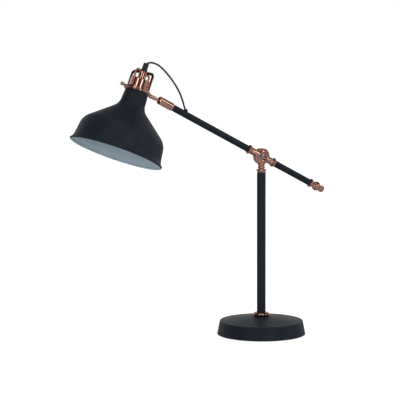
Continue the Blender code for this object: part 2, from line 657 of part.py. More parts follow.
def build_foot_fixing(stand, weight_low, hole):
    """Threaded nipple through the base, its nut and washer, the collar and the pole's foot."""
    washer_low = weight_low - SEAT_GAP - WASHER_THICKNESS
    turned("foot_washer", ring(hole, WASHER_RADIUS, washer_low, washer_low + WASHER_THICKNESS),
           "zinc_steel", stand)
    nut_low = washer_low - SEAT_GAP - NUT_HEIGHT
    nut("foot_nut", NUT_ACROSS_FLATS, hole, nut_low, NUT_HEIGHT, "zinc_steel", stand)
    base_top = dome_height(NIPPLE_RADIUS)
    nipple_top = base_top + NIPPLE_ABOVE_BASE
    nipple_low = nut_low - 2 * SEAT_GAP
    turned("foot_nipple", ring(NIPPLE_BORE_RADIUS, NIPPLE_RADIUS, nipple_low, nipple_top),
           "zinc_steel", stand, sides=SMALL_SIDES)

    collar_low = base_top + SEAT_GAP
    bore = POLE_RADIUS + RUN_GAP
    floor = collar_low + COLLAR_FLOOR
    shoulder = COLLAR_RADIUS - POLE_RADIUS
    widest = collar_low + COLLAR_WIDEST
    crown = [(COLLAR_RADIUS - shoulder * (1 - math.cos(turn)) * COLLAR_CROWN_SHARE,
              widest + (COLLAR_HEIGHT - COLLAR_WIDEST) * math.sin(turn))
             for turn in [math.pi / 2 * step / 5 for step in range(6)]]
    collar = [(hole, collar_low), (COLLAR_FOOT_RADIUS, collar_low),
              (COLLAR_RADIUS - COLLAR_EDGE, collar_low + COLLAR_WIDEST * COLLAR_EDGE_SHARE),
              *crown,
              (bore, collar_low + COLLAR_HEIGHT), (bore, floor), (hole, floor)]
    turned("base_collar", collar, "copper_plate", stand)

    pole_low = floor + SEAT_GAP
    bore = POLE_RADIUS - TUBE_WALL
    turned("pole_tube", ring(bore, POLE_RADIUS, pole_low, POLE_TOP), "black_paint", stand)
    bush_low = pole_low + SEAT_GAP
    turned("pole_foot_bush", ring(hole, bore - RUN_GAP, bush_low, nipple_top - SEAT_GAP),
           "zinc_steel", stand, sides=SMALL_SIDES)


# ================================================================ neck and knuckle
def knuckle_disc(name, finish_name, parent, place):
    """One half of the knuckle: a disc with a raised inner ring round a recess, split face at 0."""
    deep = KNUCKLE_HALF_DEPTH
    chamfer = KNUCKLE_CHAMFER
    profile = [(PIVOT_SCREW_RADIUS + RUN_GAP, KNUCKLE_SPLIT), (KNUCKLE_RADIUS, KNUCKLE_SPLIT),
               (KNUCKLE_RADIUS, deep - chamfer), (KNUCKLE_RADIUS - chamfer, deep),
               (GROOVE_OUTER, deep), (GROOVE_OUTER - GROOVE_SLOPE, deep - GROOVE_DEPTH),
               (GROOVE_INNER + GROOVE_SLOPE, deep - GROOVE_DEPTH),
               (GROOVE_INNER, deep - GROOVE_LIP),
               ((GROOVE_INNER + RECESS_RADIUS) / 2, deep + KNUCKLE_CROWN),
               (RECESS_RADIUS, deep - GROOVE_LIP), (RECESS_RADIUS, deep - RECESS_DEPTH),
               (PIVOT_SCREW_RADIUS + RUN_GAP, deep - RECESS_DEPTH)]
    return turned(name, profile, finish_name, parent, place)


def stem_profile(seat, spindle, spindle_end, thread, thread_end):
    """Half section of a knuckle stem: a boss with a waist up to its seat, then a stepped spindle."""
    root = KNUCKLE_RADIUS * STEM_ROOT_SHARE
    waist = STEM_RADIUS - STEM_WAIST
    middle = seat - STEM_WAIST_AT
    return [(0, root), (STEM_RADIUS, root), (STEM_RADIUS, middle - STEM_WAIST_RUN),
            (waist, middle - STEM_WAIST_HALF), (waist, middle + STEM_WAIST_HALF),
            (STEM_RADIUS, middle + STEM_WAIST_RUN), (STEM_RADIUS, seat - STEM_SEAT_SLOPE),
            (spindle + STEM_SEAT_RIM, seat), (spindle, seat),
            (spindle, spindle_end), (thread, spindle_end), (thread, thread_end), (0, thread_end)]


def sweep_cutter(name, parent, place):
    """Room for the other half of the knuckle to turn in."""
    reach = KNUCKLE_RADIUS + KNUCKLE_SWEEP_GAP
    high = KNUCKLE_SPLIT + KNUCKLE_SWEEP_DEPTH
    return turned(name, ring(0, reach, -2 * STEM_RADIUS, high), None, parent, place)


def build_neck(stand, neck):
    """Bead ferrule on the pole, and the rear half of the knuckle turning in it."""
    ferrule_low = POLE_TOP + SEAT_GAP
    ferrule = bead(SPINDLE_RADIUS + RUN_GAP, POLE_BEAD_RADIUS, STEM_RADIUS + POLE_BEAD_STEP,
                   ferrule_low, BEAD_HEIGHT)
    spigot = POLE_RADIUS - TUBE_WALL - RUN_GAP
    spigot_low = ferrule_low - SPIGOT_LENGTH
    ferrule = [(SPINDLE_RADIUS + RUN_GAP, spigot_low), (spigot, spigot_low),
               (spigot, ferrule_low), *ferrule[1:]]
    turned("pole_ferrule", ferrule, "copper_plate", stand)

    down = Matrix.Rotation(math.pi, 4, "X")
    rear = Matrix.Rotation(-math.pi / 2, 4, "X")
    knuckle = knuckle_disc("neck_knuckle", "copper_plate", neck, rear)
    spindle_end = PIVOT_HEIGHT - spigot_low + SEAT_GAP
    thread_end = spindle_end + 3 * SEAT_GAP + WASHER_THICKNESS + NUT_HEIGHT
    seat = PIVOT_HEIGHT - ferrule_low - BEAD_HEIGHT - SEAT_GAP
    stem = turned("neck_stem", stem_profile(seat, SPINDLE_RADIUS, spindle_end,
                                            NECK_THREAD_RADIUS, thread_end), None, neck, down)
    cut(stem, sweep_cutter("neck_stem_room", neck, rear))
    join(knuckle, stem)
    cut(knuckle, turned("neck_bore", ring(0, NECK_BORE_RADIUS, STEM_BORE_START,
                                          thread_end + OVERSHOOT), None, neck, down, TINY_SIDES))
    hole = NECK_THREAD_RADIUS + RUN_GAP
    washer_low = -spindle_end - SEAT_GAP - WASHER_THICKNESS
    washer_radius = spigot - NECK_WASHER_ROOM
    turned("neck_washer", ring(hole, washer_radius, washer_low, washer_low + WASHER_THICKNESS),
           "fibre", neck, sides=SMALL_SIDES)
    flats = 2 * washer_radius * math.cos(math.pi / 6)
    nut("neck_nut", flats, hole, washer_low - SEAT_GAP - NUT_HEIGHT, NUT_HEIGHT, "zinc_steel",
        neck)


def build_pivot_fixing(neck):
    """Screw through the knuckle, the friction washer between its halves, and the nut behind."""
    rear = Matrix.Rotation(-math.pi / 2, 4, "X")
    floor = KNUCKLE_HALF_DEPTH - RECESS_DEPTH
    head_low = -(floor + SEAT_GAP + PIVOT_HEAD_HEIGHT)
    shank_end = KNUCKLE_HALF_DEPTH - PIVOT_SCREW_END
    drive_low = head_low + PIVOT_DRIVE_DEPTH
    head = [(0, drive_low), (PIVOT_DRIVE_RADIUS, drive_low), (PIVOT_DRIVE_RADIUS, head_low),
            (PIVOT_HEAD_RADIUS - PIVOT_HEAD_CHAMFER, head_low),
            (PIVOT_HEAD_RADIUS, head_low + PIVOT_HEAD_CHAMFER),
            (PIVOT_HEAD_RADIUS, -floor - SEAT_GAP), (PIVOT_SCREW_RADIUS, -floor - SEAT_GAP),
            (PIVOT_SCREW_RADIUS, shank_end), (0, shank_end)]
    turned("pivot_screw", head, "zinc_steel", neck, rear, SMALL_SIDES)
    bore = PIVOT_SCREW_RADIUS + RUN_GAP
    half = KNUCKLE_SPLIT - SEAT_GAP
    turned("friction_washer", ring(bore, KNUCKLE_RADIUS * FRICTION_WASHER_SHARE, -half, half),
           "fibre", neck, rear)
    spring_low = floor + SEAT_GAP
    spring_high = spring_low + SPRING_WASHER_THICKNESS
    turned("spring_washer", ring(bore, PIVOT_HEAD_RADIUS, spring_low, spring_high),
           "zinc_steel", neck, rear, SMALL_SIDES)
    nut("pivot_nut", PIVOT_NUT_SHARE * PIVOT_HEAD_RADIUS, bore, spring_high + SEAT_GAP,
        PIVOT_NUT_HEIGHT, "zinc_steel", neck, rear)


# ================================================================ arm
def build_arm(arm):
    """Front half of the knuckle with its two stems, the rear tube and the turned finial."""
    front = Matrix.Rotation(math.pi / 2, 4, "X")
    ahead = Matrix()
    behind = Matrix.Rotation(math.pi, 4, "X")
    hub = knuckle_disc("arm_hub", "copper_plate", arm, front)
    tube_bore = ARM_RADIUS - TUBE_WALL
    bead_end = FRONT_BEAD_START + ARM_BEAD_LENGTH
    rear_bead_end = REAR_BEAD_START + ARM_BEAD_LENGTH
    spigot = tube_bore - RUN_GAP
    spigot_end = rear_bead_end + ARM_SPIGOT_REACH
    bush_end = bead_end + 2 * SEAT_GAP + BUSH_LENGTH
    washer_low = bush_end + 2 * SEAT_GAP
    nut_low = washer_low + WASHER_THICKNESS + SEAT_GAP
    thread_end = nut_low + NUT_HEIGHT + SEAT_GAP
    seat = FRONT_BEAD_START - SEAT_GAP
    front_stem = turned("hub_front_stem",
                        stem_profile(seat, BOOM_SPINDLE_RADIUS, bush_end + SEAT_GAP,
                                     BOOM_THREAD_RADIUS, thread_end), None, arm, ahead)
    seat = REAR_BEAD_START - SEAT_GAP
    rear_stem = turned("hub_rear_stem", stem_profile(seat, spigot, spigot_end - SEAT_GAP,
                                                     spigot - ARM_SPIGOT_STEP, spigot_end),
                       None, arm, behind)
    cut(front_stem, sweep_cutter("front_stem_room", arm, front))
    cut(rear_stem, sweep_cutter("rear_stem_room", arm, front))
    join(hub, front_stem, rear_stem)
    bore_profile = ring(0, ARM_BORE_RADIUS, STEM_BORE_START, thread_end + OVERSHOOT)
    cut(hub, turned("hub_front_bore", bore_profile, None, arm, ahead, TINY_SIDES))

    foot = ARM_RADIUS + ARM_BEAD_STEP
    turned("front_bead", bead(BOOM_SPINDLE_RADIUS + RUN_GAP, ARM_BEAD_RADIUS, foot,
                              FRONT_BEAD_START, ARM_BEAD_LENGTH), "copper_plate", arm, ahead)
    turned("rear_bead", bead(spigot + RUN_GAP, ARM_BEAD_RADIUS, foot, REAR_BEAD_START,
                             ARM_BEAD_LENGTH), "copper_plate", arm, behind)
    hole = BOOM_THREAD_RADIUS + RUN_GAP
    turned("boom_washer", ring(hole, spigot, washer_low, washer_low + WASHER_THICKNESS),
           "fibre", arm, ahead, SMALL_SIDES)
    nut("boom_nut", 2 * spigot * math.cos(math.pi / 6), hole, nut_low, NUT_HEIGHT,
        "zinc_steel", arm, ahead)

    turned("arm_tube_rear", ring(tube_bore, ARM_RADIUS, rear_bead_end + SEAT_GAP, REAR_TUBE_END),
           "black_paint", arm, behind, SMALL_SIDES)
    ring_low = REAR_TUBE_END + SEAT_GAP
    ring_high = ring_low + END_RING_LENGTH
    stud = STUD_RADIUS
    end_ring = bead(stud + RUN_GAP, END_RING_RADIUS, ARM_RADIUS + END_RING_STEP, ring_low,
                    END_RING_LENGTH)
    end_ring = [(stud + RUN_GAP, ring_low - SPIGOT_LENGTH), (spigot, ring_low - SPIGOT_LENGTH),
                (spigot, ring_low), *end_ring[1:]]
    turned("end_ring", end_ring, "copper_plate", arm, behind, SMALL_SIDES)

    low = ring_high + SEAT_GAP
    neck = FINIAL_NECK_RADIUS
    ball = FINIAL_BALL_RADIUS
    meet = math.degrees(math.acos(neck / ball))
    knob = FINIAL_KNOB_RADIUS
    knob_low = FINIAL_KNOB_LOW
    tip = FINIAL_TIP_CURVE
    finial = [(0, low - SPIGOT_LENGTH), (stud, low - SPIGOT_LENGTH), (stud, low), (neck, low),
              *arc(0, FINIAL_BALL_AT, ball, -meet, meet, 6),
              (neck - FINIAL_NECK_STEP, knob_low - 2 * FINIAL_NECK_STEP),
              (knob, knob_low + FINIAL_NECK_STEP),
              *arc(knob - tip, FINIAL_END - tip, tip, 0, 90, 4),
              (0, FINIAL_END)]
    turned("finial", finial, "copper_plate", arm, behind, SMALL_SIDES)
    return bead_end, tube_bore


def build_boom(boom, bead_end, tube_bore):
    """Front tube on its bearing bush, with the cord grommet and the ball joint's barrel."""
    low = bead_end + SEAT_GAP
    tube = turned("boom_tube", ring(tube_bore, ARM_RADIUS, low, BARREL_START), "black_paint",
                  boom, sides=MEDIUM_SIDES)
    turned("boom_bush", ring(BOOM_SPINDLE_RADIUS + RUN_GAP, tube_bore - RUN_GAP, low,
                             low + BUSH_LENGTH), "yellow_brass", boom, sides=SMALL_SIDES)

    entry = Matrix.Translation((ARM_RADIUS, 0, GROMMET_AT)) @ \
        Matrix.Rotation(math.pi / 2 - GROMMET_LEAN, 4, "Y")
    cut(tube, turned("grommet_hole", ring(0, GROMMET_RADIUS + RUN_GAP, GROMMET_HOLE_LOW,
                                          GROMMET_REACH), None, boom, entry, SMALL_SIDES))
    dome = arc(0, 0, GROMMET_DOME_RADIUS, -GROMMET_DOME_TURN, GROMMET_DOME_TURN, 6)
    grommet = turned("cord_grommet", [(0, dome[0][1]), *dome, (0, dome[-1][1])], "black_rubber",
                     boom, entry, SMALL_SIDES)
    reach = GROMMET_REACH
    cut(grommet, turned("grommet_seat", ring(0, ARM_RADIUS + SEAT_GAP, GROMMET_AT - 2 * reach,
                                             GROMMET_AT + 2 * reach), None, boom))
    join(grommet, turned("grommet_sleeve", ring(0, GROMMET_RADIUS, GROMMET_SLEEVE_LOW,
                                                GROMMET_SLEEVE_HIGH), None, boom, entry,
                         SMALL_SIDES))
    cut(grommet, turned("grommet_bore", ring(0, CORD_HOLE_RADIUS, -reach, reach), None, boom,
                        entry, TINY_SIDES))

    nose_low = BARREL_END - NOSE_LENGTH
    barrel_low = BARREL_START + SEAT_GAP
    barrel_high = nose_low - SEAT_GAP
    bore = SOCKET_BORE_RADIUS
    thread = bore + NOSE_THREAD_DEPTH
    thread_end = nose_low + NOSE_THREAD_LENGTH
    spigot = tube_bore - RUN_GAP
    bore_floor = barrel_low + SOCKET_FLOOR
    chamfer = BARREL_CHAMFER
    barrel = [(0, barrel_low - SPIGOT_LENGTH), (spigot, barrel_low - SPIGOT_LENGTH),
              (spigot, barrel_low), (BARREL_RADIUS - chamfer, barrel_low),
              (BARREL_RADIUS, barrel_low + chamfer), (BARREL_RADIUS, barrel_high),
              (thread, barrel_high), (thread, thread_end), (bore, thread_end),
              (bore, bore_floor), (0, bore_floor)]
    turned("barrel", barrel, "copper_plate", boom)

    seat_radius = BALL_RADIUS + RUN_GAP
    seat_start = thread_end + SEAT_GAP - BALL_AT
    throat = BALL_RADIUS - BALL_THROAT_DEPTH
    spread = (BALL_NECK_RADIUS + RUN_GAP) / math.cos(BALL_SWING)
    face = BARREL_END - BALL_AT
    mouth = face * math.tan(BALL_SWING) + spread
    seat_start_turn = math.degrees(math.asin(seat_start / seat_radius))
    throat_turn = math.degrees(math.asin(throat / seat_radius))
    nose = [(thread + RUN_GAP, nose_low), (BARREL_RADIUS, nose_low),
            (BARREL_RADIUS, BARREL_END - NOSE_TAPER), (mouth + NOSE_MOUTH_RIM, BARREL_END),
            (mouth, BARREL_END),
            *arc(0, BALL_AT, seat_radius, throat_turn, seat_start_turn, 3),
            (thread + RUN_GAP, thread_end + SEAT_GAP)]
    turned("barrel_nose", nose, "copper_plate", boom)

    cup_high = BALL_AT + seat_radius * math.sin(math.radians(SEAT_CUP_START))
    cup_low = BALL_AT - 2 * BALL_RADIUS
    seat = [(0, cup_low), (bore - RUN_GAP, cup_low), (bore - RUN_GAP, cup_high),
            *arc(0, BALL_AT, seat_radius, SEAT_CUP_START, SEAT_CUP_END, 6),
            (0, BALL_AT - seat_radius)]
    turned("ball_seat", seat, "nylon", boom, sides=SMALL_SIDES)

    wire = SPRING_WIRE_RADIUS
    coil = bore - RUN_GAP - 2 * wire
    spring_low = bore_floor + SEAT_GAP + wire
    spring_high = cup_low - SEAT_GAP - wire
    steps = SPRING_TURNS * SPRING_STEPS
    helix = []
    for step in range(steps + 1):
        turn = math.tau * step / SPRING_STEPS
        rise = spring_low + (spring_high - spring_low) * step / steps
        helix.append(Vector((coil * math.cos(turn), coil * math.sin(turn), rise)))
    tube_along("seat_spring", helix, wire, "zinc_steel", boom, resolution=1)


# ================================================================ head
def build_rod(head):
    """Ball-ended rod that carries the hoop."""
    towards_head = Matrix.Rotation(-math.pi / 2, 4, "Y")
    meet = math.degrees(math.acos(BALL_NECK_RADIUS / BALL_RADIUS))
    end = ROD_LENGTH
    hole = ROD_HOLE_RADIUS
    hole_low = end - ROD_HOLE_DEPTH
    rod = [(0, -BALL_RADIUS), *arc(0, 0, BALL_RADIUS, -90, meet, 9)[1:],
           (BALL_NECK_RADIUS, ROD_SHOULDER - ROD_SHOULDER_LOW),
           (ROD_RADIUS, ROD_SHOULDER + ROD_SHOULDER_HIGH),
           (ROD_RADIUS, end), (hole, end), (hole, hole_low), (0, hole_low)]
    turned("head_rod", rod, "copper_plate", head, towards_head, SMALL_SIDES)


def build_hoop(axis):
    """Hoop round the lampholder, with a boss for the rod and a ball-headed clamp screw."""
    inner = HOOP_RADIUS - HOOP_WALL
    half = HOOP_HEIGHT / 2
    belly = HOOP_BELLY
    profile = [(inner, -half), (HOOP_RADIUS - belly, -half),
               *[(HOOP_RADIUS - belly + belly * math.cos(turn),
                  (half - HOOP_EDGE) * math.sin(turn))
                 for turn in [math.pi * (step / 6 - 0.5) for step in range(7)]],
               (HOOP_RADIUS - belly, half), (inner, half)]
    hoop = turned("hoop", profile, "copper_plate", axis, sides=LARGE_SIDES)
    outwards = Matrix.Rotation(math.pi / 2, 4, "Y")
    boss_end = HOOP_RADIUS + HOOP_BOSS_LENGTH
    boss_root = HOOP_RADIUS - HOOP_WALL / 2
    join(hoop, turned("hoop_boss", [(0, boss_root), (HOOP_BOSS_NECK, boss_root),
                                    (HOOP_BOSS_NECK, HOOP_RADIUS - HOOP_BOSS_FLARE_AT),
                                    (ROD_RADIUS, boss_end), (0, boss_end)],
                      None, axis, outwards, SMALL_SIDES))
    screw = CLAMP_SCREW_RADIUS
    cut(hoop, turned("rod_screw_hole", ring(0, screw + RUN_GAP, inner - OVERSHOOT,
                                            boss_end + OVERSHOOT), None, axis, outwards,
                     TINY_SIDES))
    head_high = inner - 2 * SEAT_GAP
    head_low = head_high - CLAMP_HEAD_HEIGHT
    tip = boss_end + CLAMP_SCREW_BITE
    screw_profile = [(0, head_low), (CLAMP_HEAD_INNER, head_low), (CLAMP_HEAD_OUTER, head_high),
                     (screw, head_high), (screw, tip), (0, tip)]
    turned("rod_screw", screw_profile, "zinc_steel", axis, outwards, TINY_SIDES)

    left = Matrix.Rotation(-math.pi / 2, 4, "Y")
    cut(hoop, turned("ball_nut_hole", ring(0, screw + RUN_GAP, inner - OVERSHOOT,
                                           HOOP_RADIUS + OVERSHOOT), None, axis, left,
                     TINY_SIDES))
    seat = HOOP_RADIUS + SEAT_GAP
    stem = BALL_NUT_STEM_RADIUS
    end = inner - BALL_SCREW_SHOW
    centre = seat + BALL_NUT_STEM + BALL_NUT_RADIUS
    meet = math.degrees(math.asin(stem / BALL_NUT_RADIUS))
    ball_nut = [(0, end), (screw, end), (screw, seat), (stem, seat),
                *arc(0, centre, BALL_NUT_RADIUS, meet - 90, 90, 8)[:-1],
                (0, centre + BALL_NUT_RADIUS)]
    turned("ball_screw", ball_nut, "copper_plate", axis, left, TINY_SIDES)


def build_cage(axis):
    """Four bent straps that meet in a hub over the lampholder."""
    foot = HOOP_HEIGHT / 2 + SEAT_GAP
    top = HOOP_HEIGHT / 2 + CAGE_HEIGHT
    thick = CAGE_STRAP_THICKNESS
    outer = [(-CAGE_RADIUS, foot, 0), (-CAGE_RADIUS, top, CAGE_CORNER),
             (CAGE_RADIUS, top, CAGE_CORNER), (CAGE_RADIUS, foot, 0)]
    reach = CAGE_RADIUS - thick
    inner = [(-reach, foot, 0), (-reach, top - thick, CAGE_CORNER - thick),
             (reach, top - thick, CAGE_CORNER - thick), (reach, foot, 0)]
    outline = rounded(outer, 4) + list(reversed(rounded(inner, 4)))
    upright = Matrix.Rotation(math.pi / 2, 4, "X")
    along = Matrix.Rotation(CAGE_TURN, 4, "Z") @ upright
    across = Matrix.Rotation(CAGE_TURN + math.pi / 2, 4, "Z") @ upright
    cage = extruded("cage", outline, CAGE_STRAP_WIDTH, "copper_plate", axis, along)
    join(cage, extruded("cage_cross_strap", outline, CAGE_STRAP_WIDTH, None, axis, across))
    hub_low = top - thick - CAGE_HUB_RAISE
    hub_high = top + CAGE_HUB_RAISE
    join(cage, turned("cage_hub", ring(0, CAGE_HUB_RADIUS, hub_low, hub_high), None, axis,
                      sides=SMALL_SIDES))
    cut(cage, turned("cage_hole", ring(0, HEAD_NIPPLE_RADIUS + RUN_GAP, top - 3 * thick,
                                       top + 3 * thick), None, axis, sides=SMALL_SIDES))
    return hub_low, hub_high


def build_lampholder(axis, hub_low, hub_high):
    """Copper cup, neck sleeve, nipple and cord grip, with the E27 holder inside the cup."""
    hole = HEAD_NIPPLE_RADIUS + RUN_GAP
    flange_top = -HOOP_HEIGHT / 2 - 2 * SEAT_GAP
    bead_low = flange_top + SEAT_GAP
    bead_high = bead_low + CUP_BEAD_HEIGHT
    low = flange_top - SHADE_WALL - CUP_THREAD_LENGTH
    fillet = CUP_FILLET
    top = CUP_HEIGHT
    cup = [(CUP_RADIUS, low), (CUP_RADIUS, bead_low), (CUP_BEAD_RADIUS, bead_low),
           (CUP_BEAD_RADIUS, bead_high), (CUP_RADIUS, bead_high),
           *arc(CUP_RADIUS - fillet, top - fillet, fillet, 0, 90, 4), (hole, top),
           (hole, top - CUP_WALL),
           *arc(CUP_RADIUS - fillet, top - fillet, fillet - CUP_WALL, 90, 0, 2),
           (CUP_RADIUS - CUP_WALL, low)]
    turned("holder_cup", cup, "copper_plate", axis)

    neck_low = top + SEAT_GAP
    neck_high = hub_low - SEAT_GAP
    edge = SMALL_EDGE
    neck = [(hole, neck_low), (HOLDER_NECK_RADIUS, neck_low),
            (HOLDER_NECK_RADIUS, neck_high - edge), (HOLDER_NECK_RADIUS - edge, neck_high),
            (hole, neck_high)]
    turned("neck_sleeve", neck, "copper_plate", axis, sides=SMALL_SIDES)

    grip_low = hub_high + SEAT_GAP
    nipple_top = grip_low + HEAD_NIPPLE_INTO_GRIP
    nipple_low = top - HEAD_NIPPLE_INTO_CUP
    turned("head_nipple", ring(NIPPLE_BORE_RADIUS, HEAD_NIPPLE_RADIUS, nipple_low, nipple_top),
           "zinc_steel", axis, sides=SMALL_SIDES)
    nut("head_nut", NUT_ACROSS_FLATS * HEAD_NUT_SHARE, hole,
        top - CUP_WALL - SEAT_GAP - HEAD_NUT_HEIGHT, HEAD_NUT_HEIGHT, "zinc_steel", axis)

    grip_outer = HEAD_NIPPLE_RADIUS + GRIP_FOOT_WALL
    grip_top = grip_low + GRIP_LENGTH
    inner_top = nipple_top + SEAT_GAP
    bore = CORD_HOLE_RADIUS
    flare = GRIP_MOUTH_RADIUS - bore
    mouth = [(bore + flare * (1 - math.cos(turn)),
              grip_top - GRIP_MOUTH_DEPTH * (1 - math.sin(turn)))
             for turn in [math.pi / 2 * step / 4 for step in range(5)]]
    grip = [(hole, grip_low), (grip_outer, grip_low),
            (grip_outer, nipple_top - GRIP_FOOT_SLOPE),
            (GRIP_RADIUS, nipple_top + GRIP_FOOT_RISE), (GRIP_RADIUS, grip_top - edge),
            (GRIP_RADIUS - edge, grip_top), *reversed(mouth), (bore, inner_top),
            (hole, inner_top)]
    turned("cord_grip", grip, "phenolic", axis, sides=SMALL_SIDES)

    body_low = low + HOLDER_SET_BACK
    body_high = nipple_low - SEAT_GAP
    cavity = SHELL_SCREW_RADIUS + SEAT_GAP
    roof = body_high - HOLDER_ROOF
    wire_hole = HOLDER_BORE_RADIUS
    body = [(wire_hole, body_high), (wire_hole, roof), (cavity, roof), (cavity, body_low),
            (HOLDER_RADIUS, body_low), (HOLDER_RADIUS, body_high - HOLDER_CHAMFER),
            (HOLDER_RADIUS - HOLDER_CHAMFER, body_high)]
    turned("lampholder_body", body, "phenolic", axis)

    shell_low = body_low + SHELL_SET_BACK
    pitch = SHELL_SCREW_PITCH
    ribs = [(SHELL_SCREW_RADIUS - SHELL_SCREW_DEPTH * (step % 2), shell_low + pitch * step / 2)
            for step in range(int(2 * SHELL_SCREW_LENGTH / pitch))]
    inner_ribs = [(radius - SHELL_SCREW_WALL, height) for radius, height in reversed(ribs)]
    turned("screw_shell", ribs + inner_ribs, "yellow_brass", axis, sides=SMALL_SIDES)
    contact = [(radius, roof - SEAT_GAP - drop) for radius, drop in CONTACT_PROFILE]
    turned("centre_contact", contact, "yellow_brass", axis, sides=TINY_SIDES)

    ring_high = flange_top - SHADE_WALL - SEAT_GAP
    bore = CUP_RADIUS + RUN_GAP
    turned("shade_ring", ring(bore, SHADE_RING_RADIUS, ring_high - SHADE_RING_HEIGHT, ring_high),
           "phenolic", axis)
    return flange_top


def build_shade(axis, flange_top):
    """Spun shade: straight neck, sloping shoulder, near-upright skirt and a rolled rim."""
    mouth = -SHADE_DEPTH
    rim_bead = SHADE_RIM_BEAD
    rim_radius = SHADE_MOUTH_RADIUS - rim_bead
    skin = [(CUP_RADIUS + 2 * RUN_GAP, flange_top, 0),
            (SHADE_TOP_RADIUS, flange_top, SHADE_TOP_CURVE),
            (SHADE_NECK_RADIUS, -SHADE_NECK_AT, SHADE_NECK_CURVE),
            (SHADE_SHOULDER_RADIUS, -SHADE_SHOULDER_AT, SHADE_SHOULDER_CURVE),
            (SHADE_SKIRT_RADIUS, -SHADE_SKIRT_AT, SHADE_SKIRT_CURVE),
            (rim_radius, mouth + 2 * rim_bead, 0)]
    wall = SHADE_WALL
    lining = [(CUP_RADIUS + 2 * RUN_GAP, flange_top - wall, 0),
              (SHADE_TOP_RADIUS - wall, flange_top - wall, SHADE_TOP_CURVE_INSIDE),
              (SHADE_NECK_RADIUS - wall, -SHADE_NECK_AT - wall / 2, SHADE_NECK_CURVE + wall),
              (SHADE_SHOULDER_RADIUS - wall, -SHADE_SHOULDER_AT - wall / 2,
               SHADE_SHOULDER_CURVE - wall),
              (SHADE_SKIRT_RADIUS - wall, -SHADE_SKIRT_AT, SHADE_SKIRT_CURVE + wall),
              (rim_radius - wall, mouth + 2 * rim_bead, 0)]
    outside = rounded(skin, 3)
    inside = rounded(lining, 2)
    rim = arc(rim_radius, mouth + rim_bead, rim_bead, 75, -180, 5)
    turned("shade", outside + rim + list(reversed(inside)), "black_paint", axis,
           sides=LARGE_SIDES)


def build_cord(boom):
    """Head cord from the cord grip over to the grommet in the boom."""
    route = smooth_route([(x, 0, z) for x, z in CORD_ROUTE], CORD_SPACING)
    tube_along("head_cord", route, CORD_RADIUS, "black_rubber", boom,
               boom.matrix_world.inverted())


def build_lamp():
    """Clear the scene and build every piece on its chain of pivots."""
    for old in list(bpy.data.objects):
        bpy.data.objects.remove(old)
    boom_way = Vector((-math.cos(ARM_SLOPE), 0, math.sin(ARM_SLOPE)))
    head_way = Vector((math.sin(HEAD_TILT), 0, math.cos(HEAD_TILT)))
    knuckle = Vector((0, 0, PIVOT_HEIGHT))
    ball = knuckle + boom_way * BALL_AT

    stand = pivot("stand", None, Matrix())
    neck = pivot("neck_pivot", stand, Matrix.Translation(knuckle))
    arm = pivot("arm_pivot", neck, aimed((0, 0, 0), boom_way))
    boom = pivot("boom_pivot", arm, Matrix())
    boom_world = aimed(knuckle, boom_way)
    head = pivot("head_pivot", boom, boom_world.inverted() @ aimed(ball, head_way))
    axis = pivot("head_axis", head, Matrix.Translation((-HEAD_AXIS_REACH, 0, 0)))
    bpy.context.view_layer.update()

    weight_low, hole = build_base(stand)
    build_foot_fixing(stand, weight_low, hole)
    build_neck(stand, neck)
    build_pivot_fixing(neck)
    bead_end, tube_bore = build_arm(arm)
    build_boom(boom, bead_end, tube_bore)
    build_rod(head)
    build_hoop(axis)
    hub_low, hub_high = build_cage(axis)
    flange_top = build_lampholder(axis, hub_low, hub_high)
    build_shade(axis, flange_top)
    build_cord(boom)


build_lamp()
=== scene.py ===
"""Swing arm desk lamp, finished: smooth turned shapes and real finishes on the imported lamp.

Every size is in metres in the lamp's own frame: +Z up the pole, -X towards the shade, and the arm
in the XZ plane. Turned pieces are drawn as half sections of (radius, height, fillet) corners.
"""

import json
import logging
import math
from collections.abc import Sequence
from dataclasses import dataclass
from enum import Enum
from functools import cache

import bmesh
import bpy
from mathutils import Matrix, Vector


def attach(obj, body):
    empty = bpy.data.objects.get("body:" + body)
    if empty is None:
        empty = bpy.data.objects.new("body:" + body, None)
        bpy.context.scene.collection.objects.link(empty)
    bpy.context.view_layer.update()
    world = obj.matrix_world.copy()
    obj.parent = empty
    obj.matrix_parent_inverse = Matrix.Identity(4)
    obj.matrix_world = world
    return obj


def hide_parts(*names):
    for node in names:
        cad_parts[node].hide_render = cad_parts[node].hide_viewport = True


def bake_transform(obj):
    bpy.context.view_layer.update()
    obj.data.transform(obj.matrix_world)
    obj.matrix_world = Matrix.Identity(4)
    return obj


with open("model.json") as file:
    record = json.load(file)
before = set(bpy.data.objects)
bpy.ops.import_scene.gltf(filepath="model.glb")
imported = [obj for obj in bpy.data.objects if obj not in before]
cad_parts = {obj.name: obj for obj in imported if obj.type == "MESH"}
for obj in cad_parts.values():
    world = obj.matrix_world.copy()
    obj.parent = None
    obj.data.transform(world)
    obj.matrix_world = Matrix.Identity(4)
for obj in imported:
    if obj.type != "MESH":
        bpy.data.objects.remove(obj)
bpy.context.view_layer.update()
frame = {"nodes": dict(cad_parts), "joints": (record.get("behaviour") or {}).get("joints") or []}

log = logging.getLogger("lamp")

Outline = list[tuple[float, float, float]]

